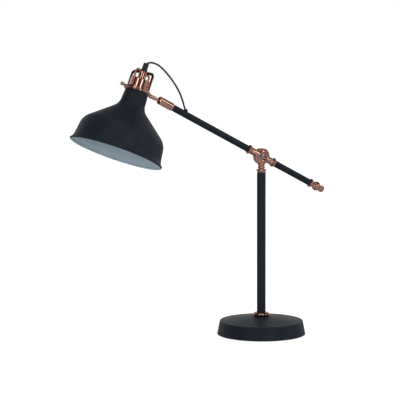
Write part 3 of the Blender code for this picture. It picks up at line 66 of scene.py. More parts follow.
SEAT_GAP = 0.0003        # between two pieces that rest on each other
RUN_GAP = 0.0003         # round a piece that turns in, or slides into, another
TUBE_WALL = 0.0012
SPIGOT_LENGTH = 0.0130
EDGE = 0.0003            # broken edge of a turned piece
GUARD = 0.0003           # straight left beside a fillet, so that its shading stays in it
ON_AXIS = 1e-7           # a point this close to the axis is on it
WELD = 1e-6              # points closer than this are one
FILLET_SHARE = 0.45      # most of a side that one fillet may take
GUARD_SHARE = 0.04       # most of a side that a guard may take
THIN_EDGE = 0.0001       # broken edge of a washer or of rolled sheet
FINE_FILLET = 0.0004
SOFT_FILLET = 0.0006
SEAM = 0.0002            # edge where two turned pieces meet in one outline
BELLY_RUNS = 16
RUB_SIZE = 0.004         # patches of wear along an edge
SMUDGE_SIZE = 0.011      # smudges from handling
SHARP = math.radians(35)
FINE_SIDES = 192
SIDES = 96
SMALL_SIDES = 64
HEAD_LEAN = math.radians(22.2)   # of the shade's axis, from upright
UPSIDE_DOWN = Matrix.Rotation(math.pi, 4, "X")


class Body(Enum):
    """The lamp's moving bodies."""

    STAND = "stand"
    NECK = "neck"
    ARM = "arm"
    BOOM = "boom"
    HEAD = "head"


class Slot(Enum):
    """The record's material slots."""

    PAINT = "black_paint"
    COPPER = "copper"
    STEEL = "zinc_steel"
    IRON = "cast_iron"
    RUBBER = "black_rubber"
    PHENOLIC = "phenolic"
    BRASS = "yellow_brass"
    NYLON = "nylon"
    FIBRE = "fibre"
    LINING = "shade_lining"


class Joinery(Enum):
    """How one solid is worked into another."""

    CUT = "DIFFERENCE"
    JOIN = "UNION"


# ================================================================ finishes
def linear(colour: str) -> tuple[float, float, float, float]:
    """Turn an sRGB hex colour into linear RGBA.

    Args:
        colour: Six hex digits after a hash.

    Returns:
        Linear red, green, blue and an alpha of 1.
    """
    shares = [int(colour[start:start + 2], 16) / 255 for start in (1, 3, 5)]
    flat = [s / 12.92 if s <= 0.04045 else ((s + 0.055) / 1.055) ** 2.4 for s in shares]
    return (*flat, 1.0)


def add_node(tree: bpy.types.NodeTree, kind: str, inputs: dict | None = None,
             **settings: object) -> bpy.types.Node:
    """Add a node to a tree.

    Args:
        tree: The node tree that gets the node.
        kind: The node's type.
        inputs: Input name or index to a value, or to another node's output to link.
        **settings: The node's own properties.

    Returns:
        The new node.
    """
    made = tree.nodes.new(kind)
    for name, value in settings.items():
        setattr(made, name, value)
    for key, value in (inputs or {}).items():
        if isinstance(value, bpy.types.NodeSocket):
            tree.links.new(value, made.inputs[key])
        else:
            made.inputs[key].default_value = value
    return made


@dataclass(frozen=True)
class Finish:
    """A surface finish, with its patterns at their real sizes.

    Args:
        name: The maker's name for the finish.
        slot: The record's slot for this finish; not used.
        colour: Main colour, sRGB hex.
        tint: Colour that the mottle drifts to, sRGB hex.
        worn: Colour of rubbed edges, sRGB hex.
        roughness: Middle roughness.
        metallic: 1 for bare or plated metal.
        spread: How far smudges move the roughness either way.
        grain: Size of the surface's grain.
        depth: Height of the grain.
        lines: Pitch of turning or polishing lines, or 0.
        wear: Share of the worn colour on a rubbed edge.
        mottle: Size of the drift between colour and tint.
        shine: Specular level; a metal keeps the default.
    """

    name: str
    slot: Slot
    colour: str
    tint: str
    worn: str
    roughness: float
    metallic: float = 0.0
    spread: float = 0.05
    grain: float = 0.0006
    depth: float = 0.00001
    lines: float = 0.0
    wear: float = 0.5
    mottle: float = 0.030
    shine: float = 0.5

    def height(self, tree: bpy.types.NodeTree, place: bpy.types.NodeSocket
               ) -> bpy.types.NodeSocket:
        """Relief of the surface, from 0 to 1, as a socket."""
        grain = add_node(tree, "ShaderNodeTexNoise", {"Vector": place, "Scale": 1 / self.grain,
                                                      "Detail": 3.0, "Roughness": 0.6})
        if not self.lines:
            return grain.outputs[0]
        along = add_node(tree, "ShaderNodeAttribute", attribute_name="along")
        rings = add_node(tree, "ShaderNodeTexNoise",
                         {"W": along.outputs["Fac"], "Scale": 1 / self.lines, "Detail": 2.0},
                         noise_dimensions="1D")
        both = add_node(tree, "ShaderNodeMath", {0: grain.outputs[0], 1: rings.outputs[0]},
                        operation="ADD")
        return both.outputs[0]

    def build(self) -> bpy.types.Material:
        """Make the finish as a node material."""
        material = bpy.data.materials.new(self.name)
        material.use_nodes = True
        tree = material.node_tree
        shader = tree.nodes["Principled BSDF"]
        place = add_node(tree, "ShaderNodeTexCoord").outputs["Object"]
        mottle = add_node(tree, "ShaderNodeTexNoise", {"Vector": place, "Scale": 1 / self.mottle,
                                                       "Detail": 4.0, "Roughness": 0.55})
        drift = add_node(tree, "ShaderNodeMapRange", {"Value": mottle.outputs[0],
                                                      "From Min": 0.35, "From Max": 0.65})
        body = add_node(tree, "ShaderNodeMix", {0: drift.outputs[0], 6: linear(self.colour),
                                                7: linear(self.tint)}, data_type="RGBA")
        edge = add_node(tree, "ShaderNodeAttribute", attribute_name="edge")
        rub = add_node(tree, "ShaderNodeTexNoise", {"Vector": place, "Scale": 1 / RUB_SIZE,
                                                    "Detail": 5.0})
        patch = add_node(tree, "ShaderNodeMapRange", {"Value": rub.outputs[0], "From Min": 0.45,
                                                      "From Max": 0.70, "To Max": self.wear})
        bare = add_node(tree, "ShaderNodeMath", {0: edge.outputs["Fac"], 1: patch.outputs[0]},
                        operation="MULTIPLY")
        skin = add_node(tree, "ShaderNodeMix", {0: bare.outputs[0], 6: body.outputs[2],
                                                7: linear(self.worn)}, data_type="RGBA")
        smudge = add_node(tree, "ShaderNodeTexNoise", {"Vector": place, "Scale": 1 / SMUDGE_SIZE,
                                                       "Detail": 5.0, "Roughness": 0.65})
        gloss = add_node(tree, "ShaderNodeMapRange",
                         {"Value": smudge.outputs[0], "From Min": 0.3, "From Max": 0.7,
                          "To Min": self.roughness - self.spread,
                          "To Max": self.roughness + self.spread})
        relief = add_node(tree, "ShaderNodeBump", {"Height": self.height(tree, place),
                                                   "Distance": self.depth, "Strength": 1.0})
        shader.inputs["Metallic"].default_value = self.metallic
        shader.inputs["Specular IOR Level"].default_value = self.shine
        tree.links.new(skin.outputs[2], shader.inputs["Base Color"])
        tree.links.new(gloss.outputs[0], shader.inputs["Roughness"])
        tree.links.new(relief.outputs[0], shader.inputs["Normal"])
        return material


@dataclass(frozen=True)
class CastFinish(Finish):
    """Sand-cast metal: a pitted skin in place of an even grain."""

    def height(self, tree: bpy.types.NodeTree, place: bpy.types.NodeSocket
               ) -> bpy.types.NodeSocket:
        """Relief of sand pits."""
        pits = add_node(tree, "ShaderNodeTexVoronoi", {"Vector": place, "Scale": 1 / self.grain})
        return pits.outputs["Distance"]


@dataclass(frozen=True)
class FibreFinish(Finish):
    """Pressed fibre sheet: long strands laid one way."""

    stretch: float = 9.0

    def height(self, tree: bpy.types.NodeTree, place: bpy.types.NodeSocket
               ) -> bpy.types.NodeSocket:
        """Relief of pressed strands."""
        laid = add_node(tree, "ShaderNodeMapping", {"Vector": place,
                                                    "Scale": (1.0, self.stretch, 1.0)})
        strands = add_node(tree, "ShaderNodeTexNoise", {"Vector": laid.outputs[0],
                                                        "Scale": 1 / (self.grain * self.stretch),
                                                        "Detail": 4.0})
        return strands.outputs[0]


# Satin powder coat on steel: blue-black, with a fine orange peel drawn a little coarse to show
POWDER_BLACK = Finish("satin_powder_coat", Slot.PAINT, "#131c26", "#18222d", "#3c444b", 0.50,
                      spread=0.05, grain=0.0007, depth=0.000012, wear=0.45, shine=0.30)
# Polished copper plate under lacquer: rosy, mirror-like, with faint polishing lines
COPPER_PLATE = Finish("polished_copper_plate", Slot.COPPER, "#e3ae9d", "#d9a08d", "#f0cbbe", 0.13,
                      metallic=1.0, spread=0.04, grain=0.0030, depth=0.0000012,
                      lines=0.00060, wear=0.4, mottle=0.012)
# Bright zinc plate on steel: cool grey with a soft brushed sheen
ZINC_PLATE = Finish("zinc_plated_steel", Slot.STEEL, "#b4b7b8", "#a6a99f", "#d6d8d8", 0.33,
                    metallic=1.0, spread=0.07, grain=0.0009, depth=0.000006, lines=0.00030)
# Sand-cast iron, unmachined: dark and pitted
SAND_CAST_IRON = CastFinish("sand_cast_iron", Slot.IRON, "#4a4a4b", "#59524d", "#83817e", 0.62,
                            metallic=0.8, spread=0.10, grain=0.0011, depth=0.00012)
# Moulded black rubber: dull and slightly greyed by handling
MOULDED_RUBBER = Finish("moulded_rubber", Slot.RUBBER, "#1b1c1d", "#242526", "#3a3b3c", 0.72,
                        spread=0.06, grain=0.0005, depth=0.00002, wear=0.4)
# Soft vinyl jacket on the cord: smooth with a satin shine
VINYL_JACKET = Finish("vinyl_cord_jacket", Slot.RUBBER, "#181a1b", "#1f2123", "#303234", 0.40,
                      spread=0.06, grain=0.0012, depth=0.00001)
# Compression-moulded phenolic: deep black with faint flow marks
MOULDED_PHENOLIC = Finish("moulded_phenolic", Slot.PHENOLIC, "#1a191b", "#231f1e", "#413b38", 0.36,
                          spread=0.07, grain=0.0020, depth=0.00001, mottle=0.008)
# Turned brass, unlacquered: warm yellow with fine tool rings
TURNED_BRASS = Finish("turned_brass", Slot.BRASS, "#d6b36b", "#c29c58", "#ecd39a", 0.24,
                      metallic=1.0, spread=0.07, grain=0.0011, depth=0.000006, lines=0.00035)
# Natural nylon: milky and slightly waxy
NATURAL_NYLON = Finish("natural_nylon", Slot.NYLON, "#e2dfd4", "#d8d4c6", "#efede6", 0.44,
                       grain=0.0010, depth=0.000012)
# Vulcanised fibre: brick red sheet with pressed strands
RED_FIBRE = FibreFinish("vulcanised_fibre", Slot.FIBRE, "#8a4232", "#7a3a2d", "#a5604c", 0.66,
                        grain=0.0003, depth=0.00003)
# Satin white stoved enamel inside the shade: cool white with a soft orange peel
WHITE_ENAMEL = Finish("satin_white_enamel", Slot.LINING, "#d6e3ea", "#cddbe3", "#eef3f5", 0.38,
                      spread=0.06, grain=0.0016, depth=0.00002, wear=0.3)


@cache
def material_of(finish: Finish) -> bpy.types.Material:
    """Make a finish once and share it between its pieces."""
    return finish.build()


# ================================================================ turning and joining
@dataclass(frozen=True)
class Seat:
    """Where a piece sits: the body it moves with and its place in the lamp's frame."""

    body: Body
    place: Matrix

    def moved(self, step: Matrix) -> "Seat":
        """The same body, at a place one step further on."""
        return Seat(self.body, self.place @ step)


GROUND = Seat(Body.STAND, Matrix())


def aimed(origin: Vector, way: Vector) -> Matrix:
    """Stand local Z along a way in the XZ plane, with local Y kept.

    Args:
        origin: Where local zero goes.
        way: The direction of local Z.

    Returns:
        The placing matrix.
    """
    z_axis = way.normalized()
    y_axis = Vector((0, 1, 0))
    turn = Matrix((y_axis.cross(z_axis), y_axis, z_axis)).transposed().to_4x4()
    return Matrix.Translation(origin) @ turn


def joint_facts(name: str) -> dict:
    """The frame's facts about one joint."""
    return next(joint for joint in frame["joints"] if joint["name"] == name)


def ring(inner: float, outer: float, low: float, high: float, edge: float = EDGE) -> Outline:
    """Half section of a plain ring with broken edges, or of a disc where inner is 0."""
    return [(inner, low, edge), (outer, low, edge), (outer, high, edge), (inner, high, edge)]


def arc(centre: tuple[float, float], radius: float, start: float, end: float, steps: int,
        rise: float = 0.0) -> Outline:
    """Corners along an arc of a half section.

    Args:
        centre: The arc's centre, as radius and height.
        radius: The arc's own radius.
        start: First angle in degrees, 0 pointing away from the axis.
        end: Last angle in degrees.
        steps: How many runs the arc has.
        rise: Its radius along the axis, where that differs.

    Returns:
        Plain corners from start to end.
    """
    turns = [math.radians(start + (end - start) * step / steps) for step in range(steps + 1)]
    return [(max(centre[0] + radius * math.cos(turn), 0.0),
             centre[1] + (rise or radius) * math.sin(turn), 0) for turn in turns]


def bead(bore: float, radius: float, foot: float, low: float, length: float,
         lip: float = 0.0008) -> Outline:
    """Half section of a bead ring: a rounded belly between two short lips."""
    high = low + length
    curve = arc((foot, (low + high) / 2), radius - foot, -90, 90, BELLY_RUNS, length / 2 - lip)
    return [(bore, low, 0), (foot, low, 0), *curve, (foot, high, 0), (bore, high, 0)]


def bend(here: Vector, back: Vector, ahead: Vector, reach: float, steps: int) -> Outline:
    """Points round a corner of a half section.

    Args:
        here: The corner.
        back: Unit direction to the corner before.
        ahead: Unit direction to the corner after.
        reach: How far from the corner the round starts.
        steps: Runs in the round.

    Returns:
        Points as (radius, height, edge), where edge is 1 in the middle of the round.
    """
    centre = here + (back + ahead).normalized() * reach / math.cos(back.angle(ahead) / 2)
    first = here + back * reach - centre
    sweep = first.angle_signed(here + ahead * reach - centre)
    points: Outline = []
    for step in range(steps + 1):
        spoke = first.copy()
        spoke.rotate(Matrix.Rotation(-sweep * step / steps, 2))
        spot = centre + spoke
        points.append((spot.x, spot.y, math.sin(math.pi * step / steps)))
    return points


def filleted(corners: Outline, steps: int = 5) -> Outline:
    """Round each corner of a half section to its fillet.

    Args:
        corners: Corners as (radius, height, fillet).
        steps: Runs in each fillet.

    Returns:
        Points as (radius, height, edge), where edge is 1 in the middle of a fillet.
    """
    points: Outline = []
    count = len(corners)
    for index, (radius, height, fillet) in enumerate(corners):
        here = Vector((radius, height))
        if fillet == 0 or radius < ON_AXIS:
            points.append((radius, height, 0))
            continue
        before = Vector(corners[index - 1][:2]) - here
        after = Vector(corners[(index + 1) % count][:2]) - here
        half = before.angle(after) / 2
        reach = min(fillet / math.tan(half), FILLET_SHARE * before.length,
                    FILLET_SHARE * after.length)
        sides = [(way.normalized(), min(GUARD, GUARD_SHARE * way.length))
                 for way in (before, after)]
        near, far = [here + way * (reach + guard) for way, guard in sides]
        points += [(near.x, near.y, 0), *bend(here, sides[0][0], sides[1][0], reach, steps),
                   (far.x, far.y, 0)]
    return points


def pour(bm: bmesh.types.BMesh, mesh: bpy.types.Mesh) -> None:
    """Weld a worked mesh, face it outwards and put it into its data block."""
    bmesh.ops.remove_doubles(bm, verts=bm.verts, dist=WELD)
    bmesh.ops.recalc_face_normals(bm, faces=bm.faces)
    bm.to_mesh(mesh)
    bm.free()


def add_object(name: str, mesh: bpy.types.Mesh) -> bpy.types.Object:
    """Link a mesh into the scene as an object at the origin."""
    piece = bpy.data.objects.new(name, mesh)
    bpy.context.scene.collection.objects.link(piece)
    return piece


def turned(name: str, outline: Outline, place: Matrix, sides: int = SIDES) -> bpy.types.Object:
    """Turn a half section about local Z into a closed solid.

    Args:
        name: The piece's name.
        outline: Corners as (radius, height, fillet), going once round the section.
        place: Where the solid goes.
        sides: How many flats make up a full turn.

    Returns:
        The solid, with edge and along attributes for its finish.
    """
    points = filleted(outline)
    bm = bmesh.new()
    edge_layer = bm.verts.layers.float.new("edge")
    along_layer = bm.verts.layers.float.new("along")
    rings = []
    along = 0.0
    last = points[0]
    for point in points:
        radius, height, edge = point
        along += math.dist(point[:2], last[:2])
        last = point
        turns = [0.0] if radius < ON_AXIS else [math.tau * k / sides for k in range(sides)]
        loop = [bm.verts.new((radius * math.cos(t), radius * math.sin(t), height)) for t in turns]
        for vert in loop:
            vert[edge_layer] = edge
            vert[along_layer] = along
        rings.append(loop)
    if len(rings[0]) > 1 or len(rings[-1]) > 1:
        rings.append(rings[0])
    for lower, upper in zip(rings, rings[1:]):
        for side in range(sides):
            after = (side + 1) % sides
            corners = [lower[side % len(lower)], lower[after % len(lower)],
                       upper[after % len(upper)], upper[side % len(upper)]]
            corners = list(dict.fromkeys(corners))
            if len(corners) > 2:
                bm.faces.new(corners)
    mesh = bpy.data.meshes.new(name)
    pour(bm, mesh)
    mesh.transform(place)
    smooth(mesh)
    return add_object(name, mesh)


def block(name: str, size: Sequence[float], place: Matrix) -> bpy.types.Object:
    """Make a plain block, centred on its place, for cutting slots."""
    bm = bmesh.new()
    bmesh.ops.create_cube(bm, size=1.0, matrix=place @ Matrix.Diagonal((*size, 1.0)))
    mesh = bpy.data.meshes.new(name)
    bm.to_mesh(mesh)
    bm.free()
    return add_object(name, mesh)


def smooth(mesh: bpy.types.Mesh) -> None:
    """Shade a mesh smooth, with its corners kept sharp."""
    mesh.shade_smooth()
    mesh.set_sharp_from_angle(angle=SHARP)


def settle(piece: bpy.types.Object) -> None:
    """Turn a piece's modifiers into plain mesh."""
    bpy.context.view_layer.update()
    graph = bpy.context.evaluated_depsgraph_get()
    mesh = bpy.data.meshes.new_from_object(piece.evaluated_get(graph),
                                           preserve_all_data_layers=True, depsgraph=graph)
    piece.modifiers.clear()
    mesh.name = piece.name
    piece.data = mesh


def work(piece: bpy.types.Object, how: Joinery, *tools: bpy.types.Object) -> None:
    """Cut tools out of a piece, or join them to it, and take the tools away."""
    for tool in tools:
        step = piece.modifiers.new(tool.name, "BOOLEAN")
        step.operation = how.value
        step.solver = "EXACT"
        step.object = tool
    settle(piece)
    for tool in tools:
        bpy.data.objects.remove(tool)
    smooth(piece.data)


def present(piece: bpy.types.Object, seat: Seat, finish: Finish, *nodes: str) -> None:
    """Finish a piece, stand it for its CAD nodes and let it move with its body.

    Args:
        piece: The finished shape.
        seat: Where it sits.
        finish: Its finish.
        *nodes: The CAD nodes that it stands for.
    """
    piece.data.materials.clear()
    piece.data.materials.append(material_of(finish))
    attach(piece, seat.body.value)
    if nodes:
        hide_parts(*nodes)
    log.info("%s: %s on %s, %d faces", piece.name, finish.name, seat.body.value,
             len(piece.data.polygons))


def make_turned(name: str, outline: Outline, seat: Seat, finish: Finish,
                sides: int = SIDES) -> None:
    """Turn a piece and present it in place of the CAD node of the same name."""
    piece = turned(name + "_turned", outline, seat.place, sides)
    present(piece, seat, finish, name)


def dress_nodes(finish: Finish, *nodes: str) -> None:
    """Give CAD nodes that are shown as they are a finish."""
    for name in nodes:
        mesh = frame["nodes"][name].data
        mesh.materials.clear()
        mesh.materials.append(material_of(finish))
        log.info("%s: %s, as packed", name, finish.name)


# ================================================================ geometry node trees
def new_tree(name: str, inputs: dict[str, tuple[str, object]]
             ) -> tuple[bpy.types.NodeTree, dict[str, bpy.types.NodeSocket], dict[str, str]]:
    """Start a geometry node tree.

    Args:
        name: The tree's name.
        inputs: Input name to its socket kind and first value.

    Returns:
        The tree, its input sockets by name, and each input's identifier by name.
    """
    tree = bpy.data.node_groups.new(name, "GeometryNodeTree")
    tree.interface.new_socket("Geometry", in_out="INPUT", socket_type="NodeSocketGeometry")
    tree.interface.new_socket("Geometry", in_out="OUTPUT", socket_type="NodeSocketGeometry")
    keys = {}
    for label, (kind, value) in inputs.items():
        socket = tree.interface.new_socket(label, in_out="INPUT", socket_type=kind)
        if value is not None:
            socket.default_value = value
        keys[label] = socket.identifier
    start = add_node(tree, "NodeGroupInput")
    return tree, {socket.name: socket for socket in start.outputs}, keys


def end_tree(tree: bpy.types.NodeTree, shape: bpy.types.NodeSocket,
             material: bpy.types.NodeSocket) -> None:
    """End a tree in real geometry with its material."""
    real = add_node(tree, "GeometryNodeRealizeInstances", {"Geometry": shape})
    clad = add_node(tree, "GeometryNodeSetMaterial", {"Geometry": real.outputs[0],
                                                      "Material": material})
    add_node(tree, "NodeGroupOutput", {"Geometry": clad.outputs[0]})


@cache
def tube_tree() -> tuple[bpy.types.NodeTree, dict[str, str]]:
    """Tree that sweeps a round section along a path, for cords, springs and threads."""
    tree, given, keys = new_tree("round_section_on_path", {
        "Radius": ("NodeSocketFloat", 0.001), "Sides": ("NodeSocketInt", 16),
        "Finish": ("NodeSocketMaterial", None)})
    path = add_node(tree, "GeometryNodeMeshToCurve", {0: given["Geometry"]})
    section = add_node(tree, "GeometryNodeCurvePrimitiveCircle",
                       {"Resolution": given["Sides"], "Radius": given["Radius"]})
    swept = add_node(tree, "GeometryNodeCurveToMesh", {"Curve": path.outputs[0],
                                                       "Profile Curve": section.outputs[0],
                                                       "Fill Caps": True})
    end_tree(tree, swept.outputs[0], given["Finish"])
    return tree, keys


@cache
def strap_tree() -> tuple[bpy.types.NodeTree, dict[str, str]]:
    """Tree that bends a flat strap along a path and repeats it round the axis."""
    tree, given, keys = new_tree("bent_straps_round_axis", {
        "Width": ("NodeSocketFloat", 0.005), "Thickness": ("NodeSocketFloat", 0.001),
        "Bend": ("NodeSocketFloat", 0.006), "Edge": ("NodeSocketFloat", 0.0004),
        "Count": ("NodeSocketInt", 4), "Finish": ("NodeSocketMaterial", None)})
    path = add_node(tree, "GeometryNodeMeshToCurve", {0: given["Geometry"]})
    bent = add_node(tree, "GeometryNodeFilletCurve",
                    {"Curve": path.outputs[0], "Radius": given["Bend"], "Count": 14}, mode="POLY")
    section = add_node(tree, "GeometryNodeCurvePrimitiveQuadrilateral",
                       {"Width": given["Thickness"], "Height": given["Width"]})
    eased = add_node(tree, "GeometryNodeFilletCurve",
                     {"Curve": section.outputs[0], "Radius": given["Edge"], "Count": 4},
                     mode="POLY")
    strap = add_node(tree, "GeometryNodeCurveToMesh", {"Curve": bent.outputs[0],
                                                       "Profile Curve": eased.outputs[0],
                                                       "Fill Caps": True})
    spots = add_node(tree, "GeometryNodePoints", {"Count": given["Count"]})
    index = add_node(tree, "GeometryNodeInputIndex")
    share = add_node(tree, "ShaderNodeMath", {0: index.outputs[0], 1: given["Count"]},
                     operation="DIVIDE")
    turn = add_node(tree, "ShaderNodeMath", {0: share.outputs[0], 1: math.tau},
                    operation="MULTIPLY")
    spin = add_node(tree, "ShaderNodeCombineXYZ", {"Z": turn.outputs[0]})
    placed = add_node(tree, "GeometryNodeInstanceOnPoints",
                      {"Points": spots.outputs[0], "Instance": strap.outputs[0],
                       "Rotation": spin.outputs[0]})
    end_tree(tree, placed.outputs[0], given["Finish"])
    return tree, keys


def grown(name: str, path: Sequence[Vector], tree: bpy.types.NodeTree, keys: dict[str, str],
          place: Matrix, **values: object) -> bpy.types.Object:
    """Grow a piece along a path with a geometry node tree.

    Args:
        name: The piece's name.
        path: Points of the path, in the piece's own frame.
        tree: The geometry node tree.
        keys: The tree's input identifiers by name.
        place: Where the piece goes.
        **values: Input name, with its first letter small, to value.

    Returns:
        The piece as plain mesh.
    """
    mesh = bpy.data.meshes.new(name)
    mesh.from_pydata([tuple(point) for point in path],
                     [(k, k + 1) for k in range(len(path) - 1)], [])
    piece = add_object(name, mesh)
    step = piece.modifiers.new("grow", "NODES")
    step.node_group = tree
    for label, value in values.items():
        step[keys[label.capitalize()]] = value
    settle(piece)
    piece.data.transform(place)
    bm = bmesh.new()
    bm.from_mesh(piece.data)
    pour(bm, piece.data)
    smooth(piece.data)
    return piece


# ================================================================ base
@dataclass
class WeightedBase:
    """Pressed steel base with its pad, collar and cord gland."""

    radius: float = 0.090
    top_radius: float = 0.0850
    side_height: float = 0.0280
    shoulder: float = 0.0035
    dome_rise: float = 0.0103
    dome_power: float = 1.3
    wall: float = 0.0012
    lift: float = 0.0006
    pad_thickness: float = 0.0020
    pad_inset: float = 0.0020
    hole: float = 0.0053
    nipple_radius: float = 0.0050
    collar_radius: float = 0.0168
    collar_height: float = 0.0070
    collar_widest: float = 0.0026
    collar_foot: float = 0.0150
    collar_floor: float = 0.0018
    gland_height: float = 0.0125
    gland_radius: float = 0.0045
    gland_flange_radius: float = 0.0068
    gland_flange: float = 0.0022
    gland_bore: float = 0.0032
    gland_length: float = 0.0150
    gland_ribs: int = 3
    gland_rib: float = 0.00035
    gland_rib_share: float = 0.6
    gland_brim_share: float = 0.4
    collar_crown_share: float = 0.8
    collar_chamfer_share: float = 0.4
    crown_step: float = 0.06
    crown_runs: int = 15

    def dome(self, radius: float) -> float:
        """Height of the outer skin at a radius from the pole."""
        top = self.top_radius - self.shoulder
        return self.side_height + self.dome_rise * (1 - (radius / top) ** self.dome_power)

    def pole_low(self) -> float:
        """Height of the pole's lower end, on the collar's floor."""
        return self.dome(self.nipple_radius) + 2 * SEAT_GAP + self.collar_floor

    def shell(self) -> None:
        """Press the shell: tapered side, rounded shoulder, shallow dome."""
        crown = [self.top_radius * (1 - self.crown_step * (step + 1))
                 for step in range(self.crown_runs)]
        lean = (self.radius - self.top_radius) / self.side_height
        high = self.side_height - self.wall
        inner_top = self.radius - lean * high - self.wall
        outline = [(self.radius, self.lift, EDGE * 2),
                   (self.top_radius, self.side_height, self.shoulder),
                   *[(radius, self.dome(radius), 0) for radius in crown],
                   (self.hole, self.dome(self.hole), 0),
                   (self.hole, self.dome(self.hole) - self.wall, 0),
                   *[(radius, self.dome(radius) - self.wall, 0) for radius in reversed(crown)],
                   (inner_top, high, self.shoulder - self.wall),
                   (self.radius - self.wall, self.lift, EDGE)]
        piece = turned("base_shell_pressed", outline, GROUND.place, FINE_SIDES)
        reach = self.gland_radius + RUN_GAP
        hole = turned("gland_hole", ring(0, reach, -2 * self.gland_radius, self.gland_radius, 0),
                      self.gland_place(), SMALL_SIDES)
        work(piece, Joinery.CUT, hole)
        present(piece, GROUND, POWDER_BLACK, "base_shell")

    def gland_place(self) -> Matrix:
        """Place of the gland, square to the tapered side at the back."""
        taper = (self.radius - self.top_radius) / self.side_height
        side = self.radius - taper * (self.gland_height - self.lift)
        lean = math.atan(taper)
        return Matrix.Translation((0, side, self.gland_height)) @ \
            Matrix.Rotation(lean - math.pi / 2, 4, "X")

    def gland(self) -> None:
        """Mould the gland with its ribbed mouth."""
        skin = SEAT_GAP
        top = skin + self.gland_flange
        rib = self.gland_rib
        gap = self.gland_flange / (2 * self.gland_ribs)
        ribs = []
        for number in range(self.gland_ribs):
            low = skin + self.gland_flange / 2 + number * gap
            swell = self.gland_flange_radius - 2 * rib * (number + 1)
            ribs += [(swell, low, rib / 2), (swell, low + gap * self.gland_rib_share, rib / 2),
                     (swell - rib, low + gap, 0)]
        outline = [(self.gland_bore, -self.gland_length, EDGE),
                   (self.gland_radius, -self.gland_length, EDGE), (self.gland_radius, skin, 0),
                   (self.gland_flange_radius, skin, EDGE),
                   (self.gland_flange_radius, skin + self.gland_flange * self.gland_brim_share,
                    EDGE), *ribs,
                   (self.gland_bore + EDGE, top + EDGE, EDGE / 2), (self.gland_bore, top, 0)]
        make_turned("cord_gland", outline, Seat(Body.STAND, self.gland_place()), MOULDED_RUBBER,
                    SMALL_SIDES)

    def collar(self, pole_radius: float) -> None:
        """Turn the collar that the pole stands in."""
        low = self.dome(self.nipple_radius) + SEAT_GAP
        bore = pole_radius + RUN_GAP
        floor = low + self.collar_floor
        reach = (self.collar_radius - pole_radius) * self.collar_crown_share
        crown = arc((self.collar_radius - reach, low + self.collar_widest), reach, 0, 90,
                    BELLY_RUNS, self.collar_height - self.collar_widest)
        outline = [(self.hole, low, 0), (self.collar_foot, low, EDGE),
                   (self.collar_radius - SOFT_FILLET,
                    low + self.collar_widest * self.collar_chamfer_share, SOFT_FILLET), *crown,
                   (bore, low + self.collar_height, 0), (bore, floor, 0), (self.hole, floor, 0)]
        make_turned("base_collar", outline, GROUND, COPPER_PLATE)

    def build(self, pole_radius: float) -> None:
        """Build the whole base.

        Args:
            pole_radius: Radius of the pole that stands in the collar.
        """
        self.shell()
        pad_radius = self.radius - self.wall - self.pad_inset
        make_turned("foot_pad", ring(0, pad_radius, 0, self.pad_thickness, 0.0005), GROUND,
                    MOULDED_RUBBER, FINE_SIDES)
        self.gland()
        self.collar(pole_radius)
        dress_nodes(SAND_CAST_IRON, "base_weight")
        dress_nodes(ZINC_PLATE, "base_plate", "plate_screw_1", "plate_screw_2", "plate_screw_3",
                    "foot_nut", "foot_washer", "foot_nipple", "pole_foot_bush")
        dress_nodes(MOULDED_PHENOLIC, "gland_nut")


